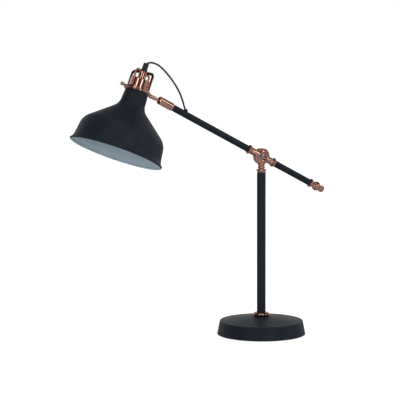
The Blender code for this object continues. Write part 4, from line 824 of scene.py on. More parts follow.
# ================================================================ pole, neck and knuckle
@dataclass
class Knuckle:
    """Two-part copper knuckle: the neck's half behind, the arm's half in front."""

    radius: float = 0.0163
    half_depth: float = 0.0070
    split: float = 0.0008
    sweep_gap: float = 0.0006
    groove_inner: float = 0.0110
    groove_outer: float = 0.0132
    groove_depth: float = 0.0013
    recess_radius: float = 0.0080
    recess_depth: float = 0.0034
    screw_radius: float = 0.0025
    screw_head_radius: float = 0.0052
    screw_head_height: float = 0.0024
    slot_width: float = 0.0013
    slot_depth: float = 0.0011
    slot_turn: float = math.radians(35)
    stem_radius: float = 0.0073
    washer_gap: float = 0.0007
    washer_share: float = 0.8
    rim_fillet: float = 0.0011
    ring_drop: float = 0.0002
    ring_rise: float = 0.0003
    ring_crown: float = 0.0014
    ring_fillet: float = 0.0005
    root_share: float = 0.62
    waist_depth: float = 0.0009
    waist_drop: float = 0.0053
    waist_half: float = 0.0007
    nose_reach: float = 0.0015
    spindle_step: float = 0.0012
    screw_flat_share: float = 0.55

    def disc(self, name: str, place: Matrix) -> bpy.types.Object:
        """Turn one half's disc, with its raised ring round a recess."""
        deep = self.half_depth
        bore = self.screw_radius + RUN_GAP
        fine, ring_low = FINE_FILLET, deep - self.ring_drop
        outline = [(bore, self.split, 0), (self.radius, self.split, EDGE),
                   (self.radius, deep, self.rim_fillet), (self.groove_outer, deep, fine),
                   (self.groove_outer - fine, deep - self.groove_depth, fine),
                   (self.groove_inner + fine, deep - self.groove_depth, fine),
                   (self.groove_inner, ring_low, self.ring_fillet),
                   ((self.groove_inner + self.recess_radius) / 2, deep + self.ring_rise,
                    self.ring_crown), (self.recess_radius, ring_low, self.ring_fillet),
                   (self.recess_radius, deep - self.recess_depth, EDGE),
                   (bore, deep - self.recess_depth, 0)]
        return turned(name, outline, place, FINE_SIDES)

    def stem(self, name: str, seat: float, spindle: float, end: float, place: Matrix
             ) -> bpy.types.Object:
        """Turn a stem: a waisted boss up to its seat, then a spindle."""
        root = self.radius * self.root_share
        waist = self.stem_radius - self.waist_depth
        middle = seat - self.waist_drop
        fine, half, nose = FINE_FILLET, self.waist_half, self.nose_reach
        outline = [(0, root, 0), (self.stem_radius, root, 0),
                   (self.stem_radius, middle - nose, fine), (waist, middle - half, fine),
                   (waist, middle + half, fine), (self.stem_radius, middle + nose, fine),
                   (self.stem_radius, seat - nose, self.ring_fillet),
                   (spindle + self.spindle_step, seat, 0),
                   (spindle, seat, 0), (spindle, end, EDGE), (0, end, 0)]
        return turned(name, outline, place)

    def room(self, name: str, place: Matrix) -> bpy.types.Object:
        """Room for the other half to turn in."""
        reach = self.radius + self.sweep_gap
        return turned(name, ring(0, reach, -2 * self.stem_radius, self.split + FINE_FILLET, 0),
                      place, FINE_SIDES)

    def build_neck_half(self, pivot: Vector, seat: float, spindle: float, end: float) -> None:
        """Build the neck's half with its stem.

        Args:
            pivot: Centre of the knuckle.
            seat: How far below the pivot the stem seats.
            spindle: Radius of the spindle.
            end: How far below the pivot the spindle ends.
        """
        rear = Matrix.Translation(pivot) @ Matrix.Rotation(-math.pi / 2, 4, "X")
        down = Matrix.Translation(pivot) @ UPSIDE_DOWN
        piece = self.disc("neck_knuckle_turned", rear)
        stem = self.stem("neck_stem", seat, spindle, end, down)
        work(stem, Joinery.CUT, self.room("neck_room", rear))
        work(piece, Joinery.JOIN, stem)
        present(piece, Seat(Body.NECK, rear), COPPER_PLATE, "neck_knuckle")

    def build_arm_half(self, arm: Matrix, front: tuple[float, float, float],
                       back: tuple[float, float, float]) -> None:
        """Build the arm's half with its two stems.

        Args:
            arm: The arm's place, local Z towards the shade.
            front: Seat, spindle radius and end of the front stem.
            back: The same for the rear stem.
        """
        face = arm @ Matrix.Rotation(math.pi / 2, 4, "X")
        piece = self.disc("arm_hub_turned", face)
        for label, (seat, spindle, end), place in (("front", front, arm),
                                                   ("rear", back, arm @ UPSIDE_DOWN)):
            stem = self.stem(label + "_stem", seat, spindle, end, place)
            work(stem, Joinery.CUT, self.room(label + "_room", face))
            work(piece, Joinery.JOIN, stem)
        present(piece, Seat(Body.ARM, arm), COPPER_PLATE, "arm_hub")

    def build_fixing(self, pivot: Vector) -> None:
        """Build the slotted screw, the washers and the nut behind."""
        rear = Seat(Body.NECK, Matrix.Translation(pivot) @ Matrix.Rotation(-math.pi / 2, 4, "X"))
        floor = self.half_depth - self.recess_depth
        low = -(floor + SEAT_GAP + self.screw_head_height)
        head = self.screw_head_radius
        outline = [(0, low, 0), (head * self.screw_flat_share, low + THIN_EDGE, 0),
                   (head, low + self.ring_fillet, self.ring_fillet),
                   (head, -floor - SEAT_GAP, EDGE), (self.screw_radius, -floor - SEAT_GAP, 0),
                   (self.screw_radius, self.half_depth - SEAM, EDGE),
                   (0, self.half_depth - SEAM, 0)]
        screw = turned("pivot_screw_slotted", outline, rear.place)
        slot = block("slot", (3 * head, self.slot_width, 2 * self.slot_depth),
                     rear.place @ Matrix.Translation((0, 0, low))
                     @ Matrix.Rotation(self.slot_turn, 4, "Z"))
        work(screw, Joinery.CUT, slot)
        present(screw, rear, ZINC_PLATE, "pivot_screw")
        bore = self.screw_radius + RUN_GAP
        half = self.split - SEAT_GAP
        make_turned("friction_washer", ring(bore, self.radius * self.washer_share, -half,
                                            half, THIN_EDGE), rear, RED_FIBRE)
        low = floor + SEAT_GAP
        make_turned("spring_washer", ring(bore, head, low, low + self.washer_gap, THIN_EDGE),
                    rear, ZINC_PLATE, SMALL_SIDES)
        dress_nodes(ZINC_PLATE, "pivot_nut")


@dataclass
class Pole:
    """Upright tube with the bead ferrule that the neck turns in."""

    radius: float = 0.0090
    top: float = 0.3313
    bead_height: float = 0.0068
    bead_radius: float = 0.0104
    spindle: float = 0.0044

    def build(self, low: float, knuckle: Knuckle, pivot: Vector) -> None:
        """Build the tube, the ferrule and the neck.

        Args:
            low: Height of the tube's lower end.
            knuckle: The knuckle that the neck carries.
            pivot: Centre of the knuckle.
        """
        bore = self.radius - TUBE_WALL
        make_turned("pole_tube", ring(bore, self.radius, low, self.top), GROUND, POWDER_BLACK)
        foot = self.top + SEAT_GAP
        spigot = bore - RUN_GAP
        hole = self.spindle + RUN_GAP
        shape = bead(hole, self.bead_radius, knuckle.stem_radius + FINE_FILLET, foot,
                     self.bead_height)
        outline = [(hole, foot - SPIGOT_LENGTH, 0), (spigot, foot - SPIGOT_LENGTH, EDGE),
                   (spigot, foot, 0), *shape[1:]]
        make_turned("pole_ferrule", outline, GROUND, COPPER_PLATE)
        knuckle.build_neck_half(pivot, pivot.z - foot - self.bead_height - SEAT_GAP,
                                self.spindle, pivot.z - foot + SPIGOT_LENGTH + SEAT_GAP)
        dress_nodes(RED_FIBRE, "neck_washer")
        dress_nodes(ZINC_PLATE, "neck_nut")


# ================================================================ arm
@dataclass
class BalancedArm:
    """The arm's hub, rear tube and finial, and the boom with its barrel in front."""

    radius: float = 0.00665
    bead_radius: float = 0.0097
    bead_length: float = 0.0058
    front_bead: float = 0.0308
    rear_bead: float = 0.0290
    spigot_reach: float = 0.0150
    spindle: float = 0.0041
    bush_length: float = 0.0120
    rear_tube_end: float = 0.1352
    end_ring_length: float = 0.0060
    end_ring_radius: float = 0.0092
    stud: float = 0.0030
    finial_ball_at: float = 0.1552
    finial_ball: float = 0.0096
    finial_neck: float = 0.0064
    finial_knob: float = 0.0070
    finial_end: float = 0.1737
    finial_gap: float = 0.0020
    finial_tip: float = 0.0022
    barrel_start: float = 0.2354
    barrel_radius: float = 0.0080
    barrel_end: float = 0.2688
    nose_length: float = 0.0095
    socket_bore: float = 0.0060
    grommet_at: float = 0.2039
    grommet_lean: float = math.radians(46.3)
    grommet_radius: float = 0.0031
    grommet_dome: float = 0.0044
    cord_hole: float = 0.0023
    hole_span: tuple[float, float] = (-0.0070, 0.0100)
    sleeve_span: tuple[float, float] = (-0.0040, 0.0034)
    cord_span: tuple[float, float] = (-0.0100, 0.0100)
    seat_span: float = 0.02
    thread_wall: float = 0.0009
    thread_length: float = 0.0036
    socket_floor: float = 0.0070
    barrel_fillet: float = 0.0010
    nose_taper: float = 0.0016
    nose_fillet: float = 0.0009

    def build_arm(self, arm: Matrix, knuckle: Knuckle) -> None:
        """Build everything that tilts with the hub.

        Args:
            arm: The arm's place, local Z towards the shade.
            knuckle: The knuckle that gives the hub its shape.
        """
        ahead = Seat(Body.ARM, arm)
        behind = ahead.moved(UPSIDE_DOWN)
        bore = self.radius - TUBE_WALL
        spigot = bore - RUN_GAP
        front_end = self.front_bead + self.bead_length + self.bush_length + 3 * SEAT_GAP
        rear_end = self.rear_bead + self.bead_length
        knuckle.build_arm_half(arm, (self.front_bead - SEAT_GAP, self.spindle, front_end),
                               (self.rear_bead - SEAT_GAP, spigot, rear_end + self.spigot_reach))
        foot = self.radius + SOFT_FILLET
        make_turned("front_bead", bead(self.spindle + RUN_GAP, self.bead_radius, foot,
                                       self.front_bead, self.bead_length), ahead, COPPER_PLATE)
        make_turned("rear_bead", bead(spigot + RUN_GAP, self.bead_radius, foot, self.rear_bead,
                                      self.bead_length), behind, COPPER_PLATE)
        make_turned("arm_tube_rear", ring(bore, self.radius, rear_end + SEAT_GAP,
                                          self.rear_tube_end), behind, POWDER_BLACK)
        low = self.rear_tube_end + SEAT_GAP
        hole = self.stud + RUN_GAP
        shape = bead(hole, self.end_ring_radius, self.radius + FINE_FILLET, low,
                     self.end_ring_length)
        outline = [(hole, low - SPIGOT_LENGTH, 0), (spigot, low - SPIGOT_LENGTH, EDGE),
                   (spigot, low, 0), *shape[1:]]
        make_turned("end_ring", outline, behind, COPPER_PLATE)
        self.finial(behind, low + self.end_ring_length + SEAT_GAP)
        dress_nodes(RED_FIBRE, "boom_washer")
        dress_nodes(ZINC_PLATE, "boom_nut")

    def finial(self, seat: Seat, low: float) -> None:
        """Turn the finial: a ball, a short waist and a rounded knob."""
        neck = self.finial_neck
        meet = math.degrees(math.acos(neck / self.finial_ball))
        knob_low = self.finial_ball_at + self.finial_ball + self.finial_gap
        tip, soft = self.finial_tip, SOFT_FILLET
        knob = self.finial_knob
        outline = [(0, low - SPIGOT_LENGTH, 0), (self.stud, low - SPIGOT_LENGTH, EDGE),
                   (self.stud, low, 0), (neck, low, 0),
                   *arc((0, self.finial_ball_at), self.finial_ball, -meet, meet, 28),
                   (neck - soft, knob_low - 2 * soft, soft), (knob, knob_low + soft, soft),
                   *arc((knob - tip, self.finial_end - tip), tip, 0, 90, 10),
                   (0, self.finial_end, 0)]
        make_turned("finial", outline, seat, COPPER_PLATE)

    def grommet(self, boom: Matrix) -> None:
        """Mould the grommet in the boom's side, and cut its hole in the tube."""
        entry = boom @ Matrix.Translation((self.radius, 0, self.grommet_at)) @ \
            Matrix.Rotation(math.pi / 2 - self.grommet_lean, 4, "Y")
        low = self.front_bead + self.bead_length + SEAT_GAP
        bore = self.radius - TUBE_WALL
        tube = turned("boom_tube_drawn", ring(bore, self.radius, low, self.barrel_start), boom)
        work(tube, Joinery.CUT,
             turned("grommet_hole", ring(0, self.grommet_radius + RUN_GAP, *self.hole_span, 0),
                    entry, SMALL_SIDES))
        present(tube, Seat(Body.BOOM, boom), POWDER_BLACK, "boom_tube")
        dome = arc((0, 0), self.grommet_dome, -60, 60, 20)
        cap = turned("cord_grommet_moulded", [(0, dome[0][1], 0), *dome, (0, dome[-1][1], 0)],
                     entry, SMALL_SIDES)
        work(cap, Joinery.CUT,
             turned("tube_seat", ring(0, self.radius + SEAT_GAP,
                                      self.grommet_at - self.seat_span,
                                      self.grommet_at + self.seat_span, 0), boom))
        work(cap, Joinery.JOIN, turned("sleeve", ring(0, self.grommet_radius, *self.sleeve_span,
                                                      0), entry, SMALL_SIDES))
        work(cap, Joinery.CUT, turned("cord_bore", ring(0, self.cord_hole, *self.cord_span, 0),
                                      entry, SMALL_SIDES))
        present(cap, Seat(Body.BOOM, boom), MOULDED_RUBBER, "cord_grommet")

    def barrel(self, seat: Seat, joint: "BallJoint") -> None:
        """Turn the barrel and the nose that closes the ball in it."""
        nose_low = self.barrel_end - self.nose_length
        low = self.barrel_start + SEAT_GAP
        high = nose_low - SEAT_GAP
        bore = self.socket_bore
        thread = bore + self.thread_wall
        thread_end = nose_low + self.thread_length
        spigot = self.radius - TUBE_WALL - RUN_GAP
        floor = low + self.socket_floor
        radius = self.barrel_radius
        make_turned("barrel", [(0, low - SPIGOT_LENGTH, 0), (spigot, low - SPIGOT_LENGTH, EDGE),
                               (spigot, low, 0), (radius, low, self.barrel_fillet),
                               (radius, high, SEAM),
                               (thread, high, 0), (thread, thread_end, 0), (bore, thread_end, 0),
                               (bore, floor, 0), (0, floor, 0)], seat, COPPER_PLATE)
        ball = joint.radius + RUN_GAP
        start = thread_end + SEAT_GAP - joint.at
        face = self.barrel_end - joint.at
        mouth = face * math.tan(joint.swing) + (joint.neck + RUN_GAP) / math.cos(joint.swing)
        turns = [math.degrees(math.asin(reach / ball)) for reach in (joint.throat, start)]
        make_turned("barrel_nose",
                    [(thread + RUN_GAP, nose_low, 0), (radius, nose_low, SEAM),
                     (radius, self.barrel_end - self.nose_taper, self.nose_fillet),
                     (mouth + FINE_FILLET, self.barrel_end, SEAM), (mouth, self.barrel_end, 0),
                     *arc((0, joint.at), ball, turns[0], turns[1], 8),
                     (thread + RUN_GAP, thread_end + SEAT_GAP, 0)], seat, COPPER_PLATE)

    def build_boom(self, boom: Matrix, joint: "BallJoint") -> None:
        """Build everything that twists with the boom.

        Args:
            boom: The boom's place, local Z towards the shade.
            joint: The ball joint in the barrel.
        """
        self.grommet(boom)
        self.barrel(Seat(Body.BOOM, boom), joint)
        dress_nodes(TURNED_BRASS, "boom_bush")
        dress_nodes(NATURAL_NYLON, "ball_seat")
        dress_nodes(ZINC_PLATE, "seat_spring")


# ================================================================ head
@dataclass
class BallJoint:
    """Ball-ended rod that carries the hoop."""

    at: float = 0.2605
    radius: float = 0.0055
    neck: float = 0.0026
    swing: float = math.radians(20)
    throat: float = 0.00375
    rod_radius: float = 0.00385
    shoulder: float = 0.0146
    screw_hole: float = 0.0017
    screw_depth: float = 0.0090

    def build(self, head: Matrix, end: float) -> None:
        """Turn the rod.

        Args:
            head: The ball's centre, local X away from the hoop.
            end: How far along the rod ends.
        """
        seat = Seat(Body.HEAD, head @ Matrix.Rotation(-math.pi / 2, 4, "Y"))
        meet = math.degrees(math.acos(self.neck / self.radius))
        hole, depth, fine = self.screw_hole, self.screw_depth, FINE_FILLET
        outline = [*arc((0, 0), self.radius, -90, meet, 36),
                   (self.neck, self.shoulder - SOFT_FILLET, fine),
                   (self.rod_radius, self.shoulder + fine, fine), (self.rod_radius, end, EDGE),
                   (hole, end, 0), (hole, end - depth, 0), (0, end - depth, 0)]
        make_turned("head_rod", outline, seat, COPPER_PLATE, SMALL_SIDES)


@dataclass
class ShadeCarrier:
    """Hoop, cage, cup and cord grip that hold the lampholder and the shade."""

    axis_reach: float = 0.0596
    hoop_radius: float = 0.0272
    hoop_wall: float = 0.0034
    hoop_height: float = 0.0054
    boss_radius: float = 0.0046
    boss_length: float = 0.0036
    screw_ball: float = 0.0036
    screw_stem: float = 0.0044
    cage_radius: float = 0.0246
    cage_height: float = 0.0342
    strap_width: float = 0.0055
    strap_thickness: float = 0.0013
    strap_bend: float = 0.0065
    strap_count: int = 4
    cage_turn: float = math.radians(26)
    hub_radius: float = 0.0082
    cup_radius: float = 0.0190
    cup_height: float = 0.0222
    cup_wall: float = 0.0012
    cup_bead: float = 0.0215
    cup_thread: float = 0.0086
    sleeve_radius: float = 0.0077
    nipple_radius: float = 0.0050
    grip_radius: float = 0.0053
    grip_top: float = 0.05475
    grip_mouth: float = 0.0043
    grip_mouth_depth: float = 0.0058
    grip_bore: float = 0.0023
    grip_step: float = 0.0012
    nipple_above: float = 0.0050
    hoop_belly: float = 0.0016
    boss_step: float = 0.0021
    screw_shank: float = 0.0014
    screw_neck: float = 0.0022
    strap_edge_share: float = 0.3
    strap_lap: float = 0.0012
    hub_overlap: float = 0.0002
    cup_bead_height: float = 0.0018
    cup_fillet: float = 0.0022
    sleeve_fillet: float = 0.0005

    def hoop(self, seat: Seat, rod_radius: float) -> None:
        """Turn the hoop and join its rod boss."""
        inner = self.hoop_radius - self.hoop_wall
        half = self.hoop_height / 2
        waist = self.hoop_radius - self.hoop_belly
        swell = arc((waist, 0), self.hoop_belly, -90, 90, 18, half - FINE_FILLET)
        outline = [(inner, -half, EDGE), (waist, -half, 0), *swell, (waist, half, 0),
                   (inner, half, EDGE)]
        piece = turned("hoop_turned", outline, seat.place, FINE_SIDES)
        end = self.hoop_radius + self.boss_length
        root = self.boss_radius - self.boss_step
        boss = turned("rod_boss", [(0, self.hoop_radius - self.hoop_wall / 2, 0),
                                   (root, self.hoop_radius - self.hoop_wall / 2, 0),
                                   (root, self.hoop_radius - SOFT_FILLET, 0),
                                   (rod_radius, end, EDGE),
                                   (0, end, 0)],
                      seat.place @ Matrix.Rotation(math.pi / 2, 4, "Y"), SMALL_SIDES)
        work(piece, Joinery.JOIN, boss)
        present(piece, seat, COPPER_PLATE, "hoop")

    def clamp_screw(self, seat: Seat) -> None:
        """Turn the small ball-headed screw opposite the rod."""
        low = self.hoop_radius + SEAT_GAP
        shank, stem = self.screw_shank, self.screw_neck
        tip = self.hoop_radius - self.hoop_wall - SOFT_FILLET
        centre = low + self.screw_stem + self.screw_ball
        meet = math.degrees(math.asin(stem / self.screw_ball))
        outline = [(0, tip, 0), (shank, tip, 0), (shank, low, 0), (stem, low, EDGE),
                   *arc((0, centre), self.screw_ball, meet - 90, 90, 28)]
        make_turned("ball_screw", outline, seat.moved(Matrix.Rotation(-math.pi / 2, 4, "Y")),
                    COPPER_PLATE, SMALL_SIDES)

    def cage(self, seat: Seat) -> tuple[float, float]:
        """Bend the straps and join them in their hub.

        Args:
            seat: Where the head's axis is.

        Returns:
            The hub's underside and top.
        """
        foot = self.hoop_height / 2 + SEAT_GAP
        top = self.hoop_height / 2 + self.cage_height
        thick = self.strap_thickness
        line = self.cage_radius - thick / 2
        level = top - thick / 2
        path = [Vector((self.nipple_radius + self.strap_lap, 0, level)),
                Vector((line, 0, level)), Vector((line, 0, foot))]
        tree, keys = strap_tree()
        piece = grown("cage_bent", path, tree, keys,
                      seat.place @ Matrix.Rotation(self.cage_turn, 4, "Z"),
                      width=self.strap_width, thickness=thick,
                      bend=self.strap_bend - thick / 2, edge=thick * self.strap_edge_share,
                      count=self.strap_count, finish=material_of(COPPER_PLATE))
        hub_low, hub_high = top - thick - self.hub_overlap, top + self.hub_overlap
        hub = turned("cage_hub", ring(self.nipple_radius + RUN_GAP, self.hub_radius, hub_low,
                                      hub_high), seat.place)
        work(piece, Joinery.JOIN, hub)
        present(piece, seat, COPPER_PLATE, "cage")
        return hub_low, hub_high

    def cup(self, seat: Seat, flange: float, shade_wall: float) -> float:
        """Turn the cup over the lampholder.

        Args:
            seat: Where the head's axis is.
            flange: Height of the shade's top flange.
            shade_wall: Thickness of that flange.

        Returns:
            Height of the cup's lower edge.
        """
        bead_low = flange + SEAT_GAP
        bead_high = bead_low + self.cup_bead_height
        low = flange - shade_wall - self.cup_thread
        fillet = self.cup_fillet
        hole = self.nipple_radius + RUN_GAP
        radius, top, wall = self.cup_radius, self.cup_height, self.cup_wall
        outline = [(radius, low, EDGE), (radius, bead_low, 0),
                   (self.cup_bead, bead_low, SOFT_FILLET),
                   (self.cup_bead, bead_high, SOFT_FILLET), (radius, bead_high, SEAM),
                   (radius, top, fillet), (hole, top, EDGE), (hole, top - wall, 0),
                   (radius - wall, top - wall, fillet - wall), (radius - wall, low, 0)]
        make_turned("holder_cup", outline, seat, COPPER_PLATE, FINE_SIDES)
        return low

    def grip(self, seat: Seat, low: float) -> None:
        """Mould the cord grip with its belled mouth."""
        nipple_top = low + self.nipple_above
        hole = self.nipple_radius + RUN_GAP
        outer = self.grip_radius + self.grip_step
        inner_top = nipple_top + SEAT_GAP
        flare = self.grip_mouth - self.grip_bore
        mouth = arc((self.grip_mouth, self.grip_top - self.grip_mouth_depth), flare, 90, 180, 12,
                    self.grip_mouth_depth)
        fine = FINE_FILLET
        outline = [(hole, low, 0), (outer, low, EDGE), (outer, nipple_top - SOFT_FILLET, fine),
                   (self.grip_radius, nipple_top + fine, fine),
                   (self.grip_radius, self.grip_top, SOFT_FILLET), *mouth,
                   (self.grip_bore, inner_top, 0), (hole, inner_top, 0)]
        make_turned("cord_grip", outline, seat, MOULDED_PHENOLIC, SMALL_SIDES)

    def build(self, seat: Seat, rod_radius: float, shade_wall: float) -> tuple[float, float]:
        """Build the whole carrier.

        Args:
            seat: Where the head's axis is, level with the hoop.
            rod_radius: Radius of the rod at the hoop.
            shade_wall: Thickness of the shade.

        Returns:
            Height of the shade's flange, and of the cup's lower edge.
        """
        self.hoop(seat, rod_radius)
        self.clamp_screw(seat)
        hub_low, hub_high = self.cage(seat)
        flange = -self.hoop_height / 2 - 2 * SEAT_GAP
        cup_low = self.cup(seat, flange, shade_wall)
        hole = self.nipple_radius + RUN_GAP
        make_turned("neck_sleeve", ring(hole, self.sleeve_radius, self.cup_height + SEAT_GAP,
                                        hub_low - SEAT_GAP, self.sleeve_fillet), seat,
                    COPPER_PLATE)
        self.grip(seat, hub_high + SEAT_GAP)
        dress_nodes(ZINC_PLATE, "rod_screw", "head_nipple", "head_nut")
        return flange, cup_low


@dataclass
class Lampholder:
    """E27 lampholder inside the cup."""

    radius: float = 0.0170
    roof: float = 0.0060
    shell_radius: float = 0.0141
    shell_length: float = 0.0190
    pitch: float = 0.0036
    thread_wire: float = 0.00055
    nipple_into_cup: float = 0.0060
    ring_radius: float = 0.0208
    ring_height: float = 0.0045
    body_rise: float = 0.0012
    wire_hole: float = 0.0030
    cavity_fillet: float = 0.0005
    body_fillet: float = 0.0015
    shell_rise: float = 0.0015
    shell_wall: float = 0.0005
    runs_in_turn: int = 60
    thread_sides: int = 10

    def build(self, seat: Seat, carrier: ShadeCarrier, low: float, flange: float,
              shade_wall: float) -> None:
        """Build the holder's body, screw shell, contact and the shade's ring.

        Args:
            seat: Where the head's axis is.
            carrier: The carrier whose cup it sits in.
            low: Height of the cup's lower edge.
            flange: Height of the shade's flange.
            shade_wall: Thickness of that flange.
        """
        body_low = low + self.body_rise
        body_high = carrier.cup_height - self.nipple_into_cup - SEAT_GAP
        cavity = self.shell_radius + SEAT_GAP
        roof = body_high - self.roof
        make_turned("lampholder_body",
                    [(self.wire_hole, body_high, 0), (self.wire_hole, roof, 0),
                     (cavity, roof, self.cavity_fillet), (cavity, body_low, SOFT_FILLET),
                     (self.radius, body_low, SOFT_FILLET),
                     (self.radius, body_high, self.body_fillet)], seat, MOULDED_PHENOLIC)
        shell_low = body_low + self.shell_rise
        wall = self.shell_wall
        high = shell_low + self.shell_length - self.pitch
        shell = turned("screw_shell_rolled", ring(self.shell_radius - wall, self.shell_radius,
                                                  shell_low, high, THIN_EDGE), seat.place)
        tree, keys = tube_tree()
        inset = self.shell_radius - wall
        turns = (high - shell_low - self.pitch) / self.pitch
        steps = int(turns * self.runs_in_turn)
        path = []
        for step in range(steps + 1):
            turn = math.tau * turns * step / steps
            rise = shell_low + self.pitch * (0.5 + turns * step / steps)
            path.append(Vector((inset * math.cos(turn), inset * math.sin(turn), rise)))
        thread = grown("screw_thread", path, tree, keys, seat.place, radius=self.thread_wire,
                       sides=self.thread_sides, finish=material_of(TURNED_BRASS))
        work(shell, Joinery.JOIN, thread)
        present(shell, seat, TURNED_BRASS, "screw_shell")
        high = flange - shade_wall - SEAT_GAP
        make_turned("shade_ring", ring(carrier.cup_radius + RUN_GAP, self.ring_radius,
                                       high - self.ring_height, high, self.cavity_fillet),
                    seat, MOULDED_PHENOLIC)
        dress_nodes(TURNED_BRASS, "centre_contact")


@dataclass
class Shade:
    """Spun steel shade, black outside, with a white enamel lining."""

    depth: float = 0.1292
    mouth_radius: float = 0.0921
    rim: float = 0.0021
    wall: float = 0.0008
    top_radius: float = 0.0226
    top_fillet: float = 0.0016
    neck: tuple[float, float, float] = (0.0250, 0.0348, 0.024)
    shoulder: tuple[float, float, float] = (0.0821, 0.0829, 0.032)
    skirt: tuple[float, float, float] = (0.0870, 0.1190, 0.030)
    lining: float = 0.00012

    def skin(self, inset: float, flange: float, hole: float) -> Outline:
        """Half section of the shade's skin at an inset, from the flange down to the rim.

        Args:
            inset: How far inside the outer skin it runs.
            flange: Height of the outer skin's flange.
            hole: Radius of the flange's hole.

        Returns:
            Corners from the hole to the rim.
        """
        corners: Outline = [(hole, flange - inset, 0),
                            (self.top_radius - inset, flange - inset,
                             max(self.top_fillet - inset, FINE_FILLET))]
        for (radius, down, curve), bend in zip((self.neck, self.shoulder, self.skirt),
                                               (1, -1, 1)):
            corners.append((radius - inset, -down - inset / 2, curve + bend * inset))
        corners.append((self.mouth_radius - self.rim - inset, -self.depth + 2 * self.rim, 0))
        rounded = [point for start in range(len(corners) - 2)
                   for point in self.eased(corners[start:start + 3])]
        return [corners[0], *rounded, corners[-1]]

    @staticmethod
    def eased(spread: Outline, steps: int = 24) -> Outline:
        """Points of the fillet at the middle of three corners."""
        here = Vector(spread[1][:2])
        back, ahead = [(Vector(spread[side][:2]) - here).normalized() for side in (0, 2)]
        reach = spread[1][2] / math.tan(back.angle(ahead) / 2)
        return [(x, y, 0) for x, y, _ in bend(here, back, ahead, reach, steps)]

    def build(self, seat: Seat, hole: float, flange: float) -> None:
        """Spin the shade and its lining.

        Args:
            seat: Where the head's axis is.
            hole: Radius of the hole in the flange.
            flange: Height of the flange's top.
        """
        outside = self.skin(0, flange, hole)
        inside = self.skin(self.wall, flange, hole)
        middle = (self.mouth_radius - self.rim, -self.depth + self.rim)
        roll = arc(middle, self.rim, 75, -180, 20)
        make_turned("shade", outside + roll + list(reversed(inside)), seat, POWDER_BLACK,
                    FINE_SIDES)
        sunk = self.lining / 3
        behind = self.skin(self.wall - sunk, flange, hole)
        face = self.skin(self.wall + self.lining, flange, hole)
        lip = arc(middle, self.rim + self.lining, -180, -90, 12)
        under = arc(middle, self.rim - sunk, -180, -90, 12)
        piece = turned("shade_lining", behind + under + list(reversed(face + lip)), seat.place,
                       FINE_SIDES)
        present(piece, seat, WHITE_ENAMEL)


@dataclass
class HeadCord:
    """Short cord from the cord grip over to the grommet in the boom."""

    radius: float = 0.0018
    spacing: float = 0.0010
    length: float = 0.137
    route: tuple[tuple[float, float], ...] = (
        (-0.2718, 0.5435), (-0.2706, 0.5464), (-0.2690, 0.5489), (-0.2664, 0.5507),
        (-0.2630, 0.5516), (-0.2569, 0.5518), (-0.2498, 0.5501), (-0.2414, 0.5463),
        (-0.2332, 0.5405), (-0.2253, 0.5333), (-0.2179, 0.5256), (-0.2109, 0.5175),
        (-0.2046, 0.5093), (-0.1989, 0.5010), (-0.1942, 0.4931), (-0.1905, 0.4850),
        (-0.1874, 0.4767), (-0.1846, 0.4682), (-0.1819, 0.4608), (-0.1797, 0.4550))

    def path(self) -> list[Vector]:
        """Close points on a smooth curve through the route."""
        knots = [Vector((x, 0, z)) for x, z in self.route]
        knots = [2 * knots[0] - knots[1], *knots, 2 * knots[-1] - knots[-2]]
        points = []
        for k in range(1, len(knots) - 2):
            before, start, end, after = knots[k - 1:k + 3]
            steps = max(round((end - start).length / self.spacing), 1)
            for step in range(steps):
                t = step / steps
                points.append(0.5 * (2 * start + (end - before) * t
                                     + (2 * before - 5 * start + 4 * end - after) * t ** 2
                                     + (3 * start - before - 3 * end + after) * t ** 3))
        return [*points, knots[-2]]

    def build(self) -> None:
        """Lay the cord between the boom and the head."""
        path = self.path()
        tree, keys = tube_tree()
        piece = grown("head_cord_jacket", path, tree, keys, Matrix(), radius=self.radius,
                      sides=24, finish=material_of(VINYL_JACKET))
        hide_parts("head_cord")
        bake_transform(piece)
        length = sum((b - a).length for a, b in zip(path, path[1:]))
        log.info("head cord: %.1f mm long", length * 1000)


# ================================================================ studio
@dataclass
class Softbox:
    """A soft rectangular light that faces the lamp.

    Args:
        name: The light's name.
        bearing: Direction from the lamp in degrees, from -Y towards -X.
        rise: Height above the horizon in degrees.
        distance: How far from the lamp it hangs.
        size: Width and height.
        glow: Brightness of its face, where 1 is paper white.
        target: Where it points.
    """

    name: str
    bearing: float
    rise: float
    distance: float
    size: tuple[float, float]
    glow: float
    target: tuple[float, float, float] = (-0.15, 0.0, 0.35)

    def build(self) -> None:
        """Hang the light."""
        turn, lift = math.radians(self.bearing), math.radians(self.rise)
        away = Vector((-math.sin(turn) * math.cos(lift), -math.cos(turn) * math.cos(lift),
                       math.sin(lift)))
        light = bpy.data.lights.new(self.name, "AREA")
        light.shape = "RECTANGLE"
        light.size, light.size_y = self.size
        light.energy = self.glow * math.pi * self.size[0] * self.size[1]
        lamp = bpy.data.objects.new(self.name, light)
        bpy.context.scene.collection.objects.link(lamp)
        lamp.location = Vector(self.target) + away * self.distance
        lamp.rotation_euler = away.to_track_quat("Z", "Y").to_euler()


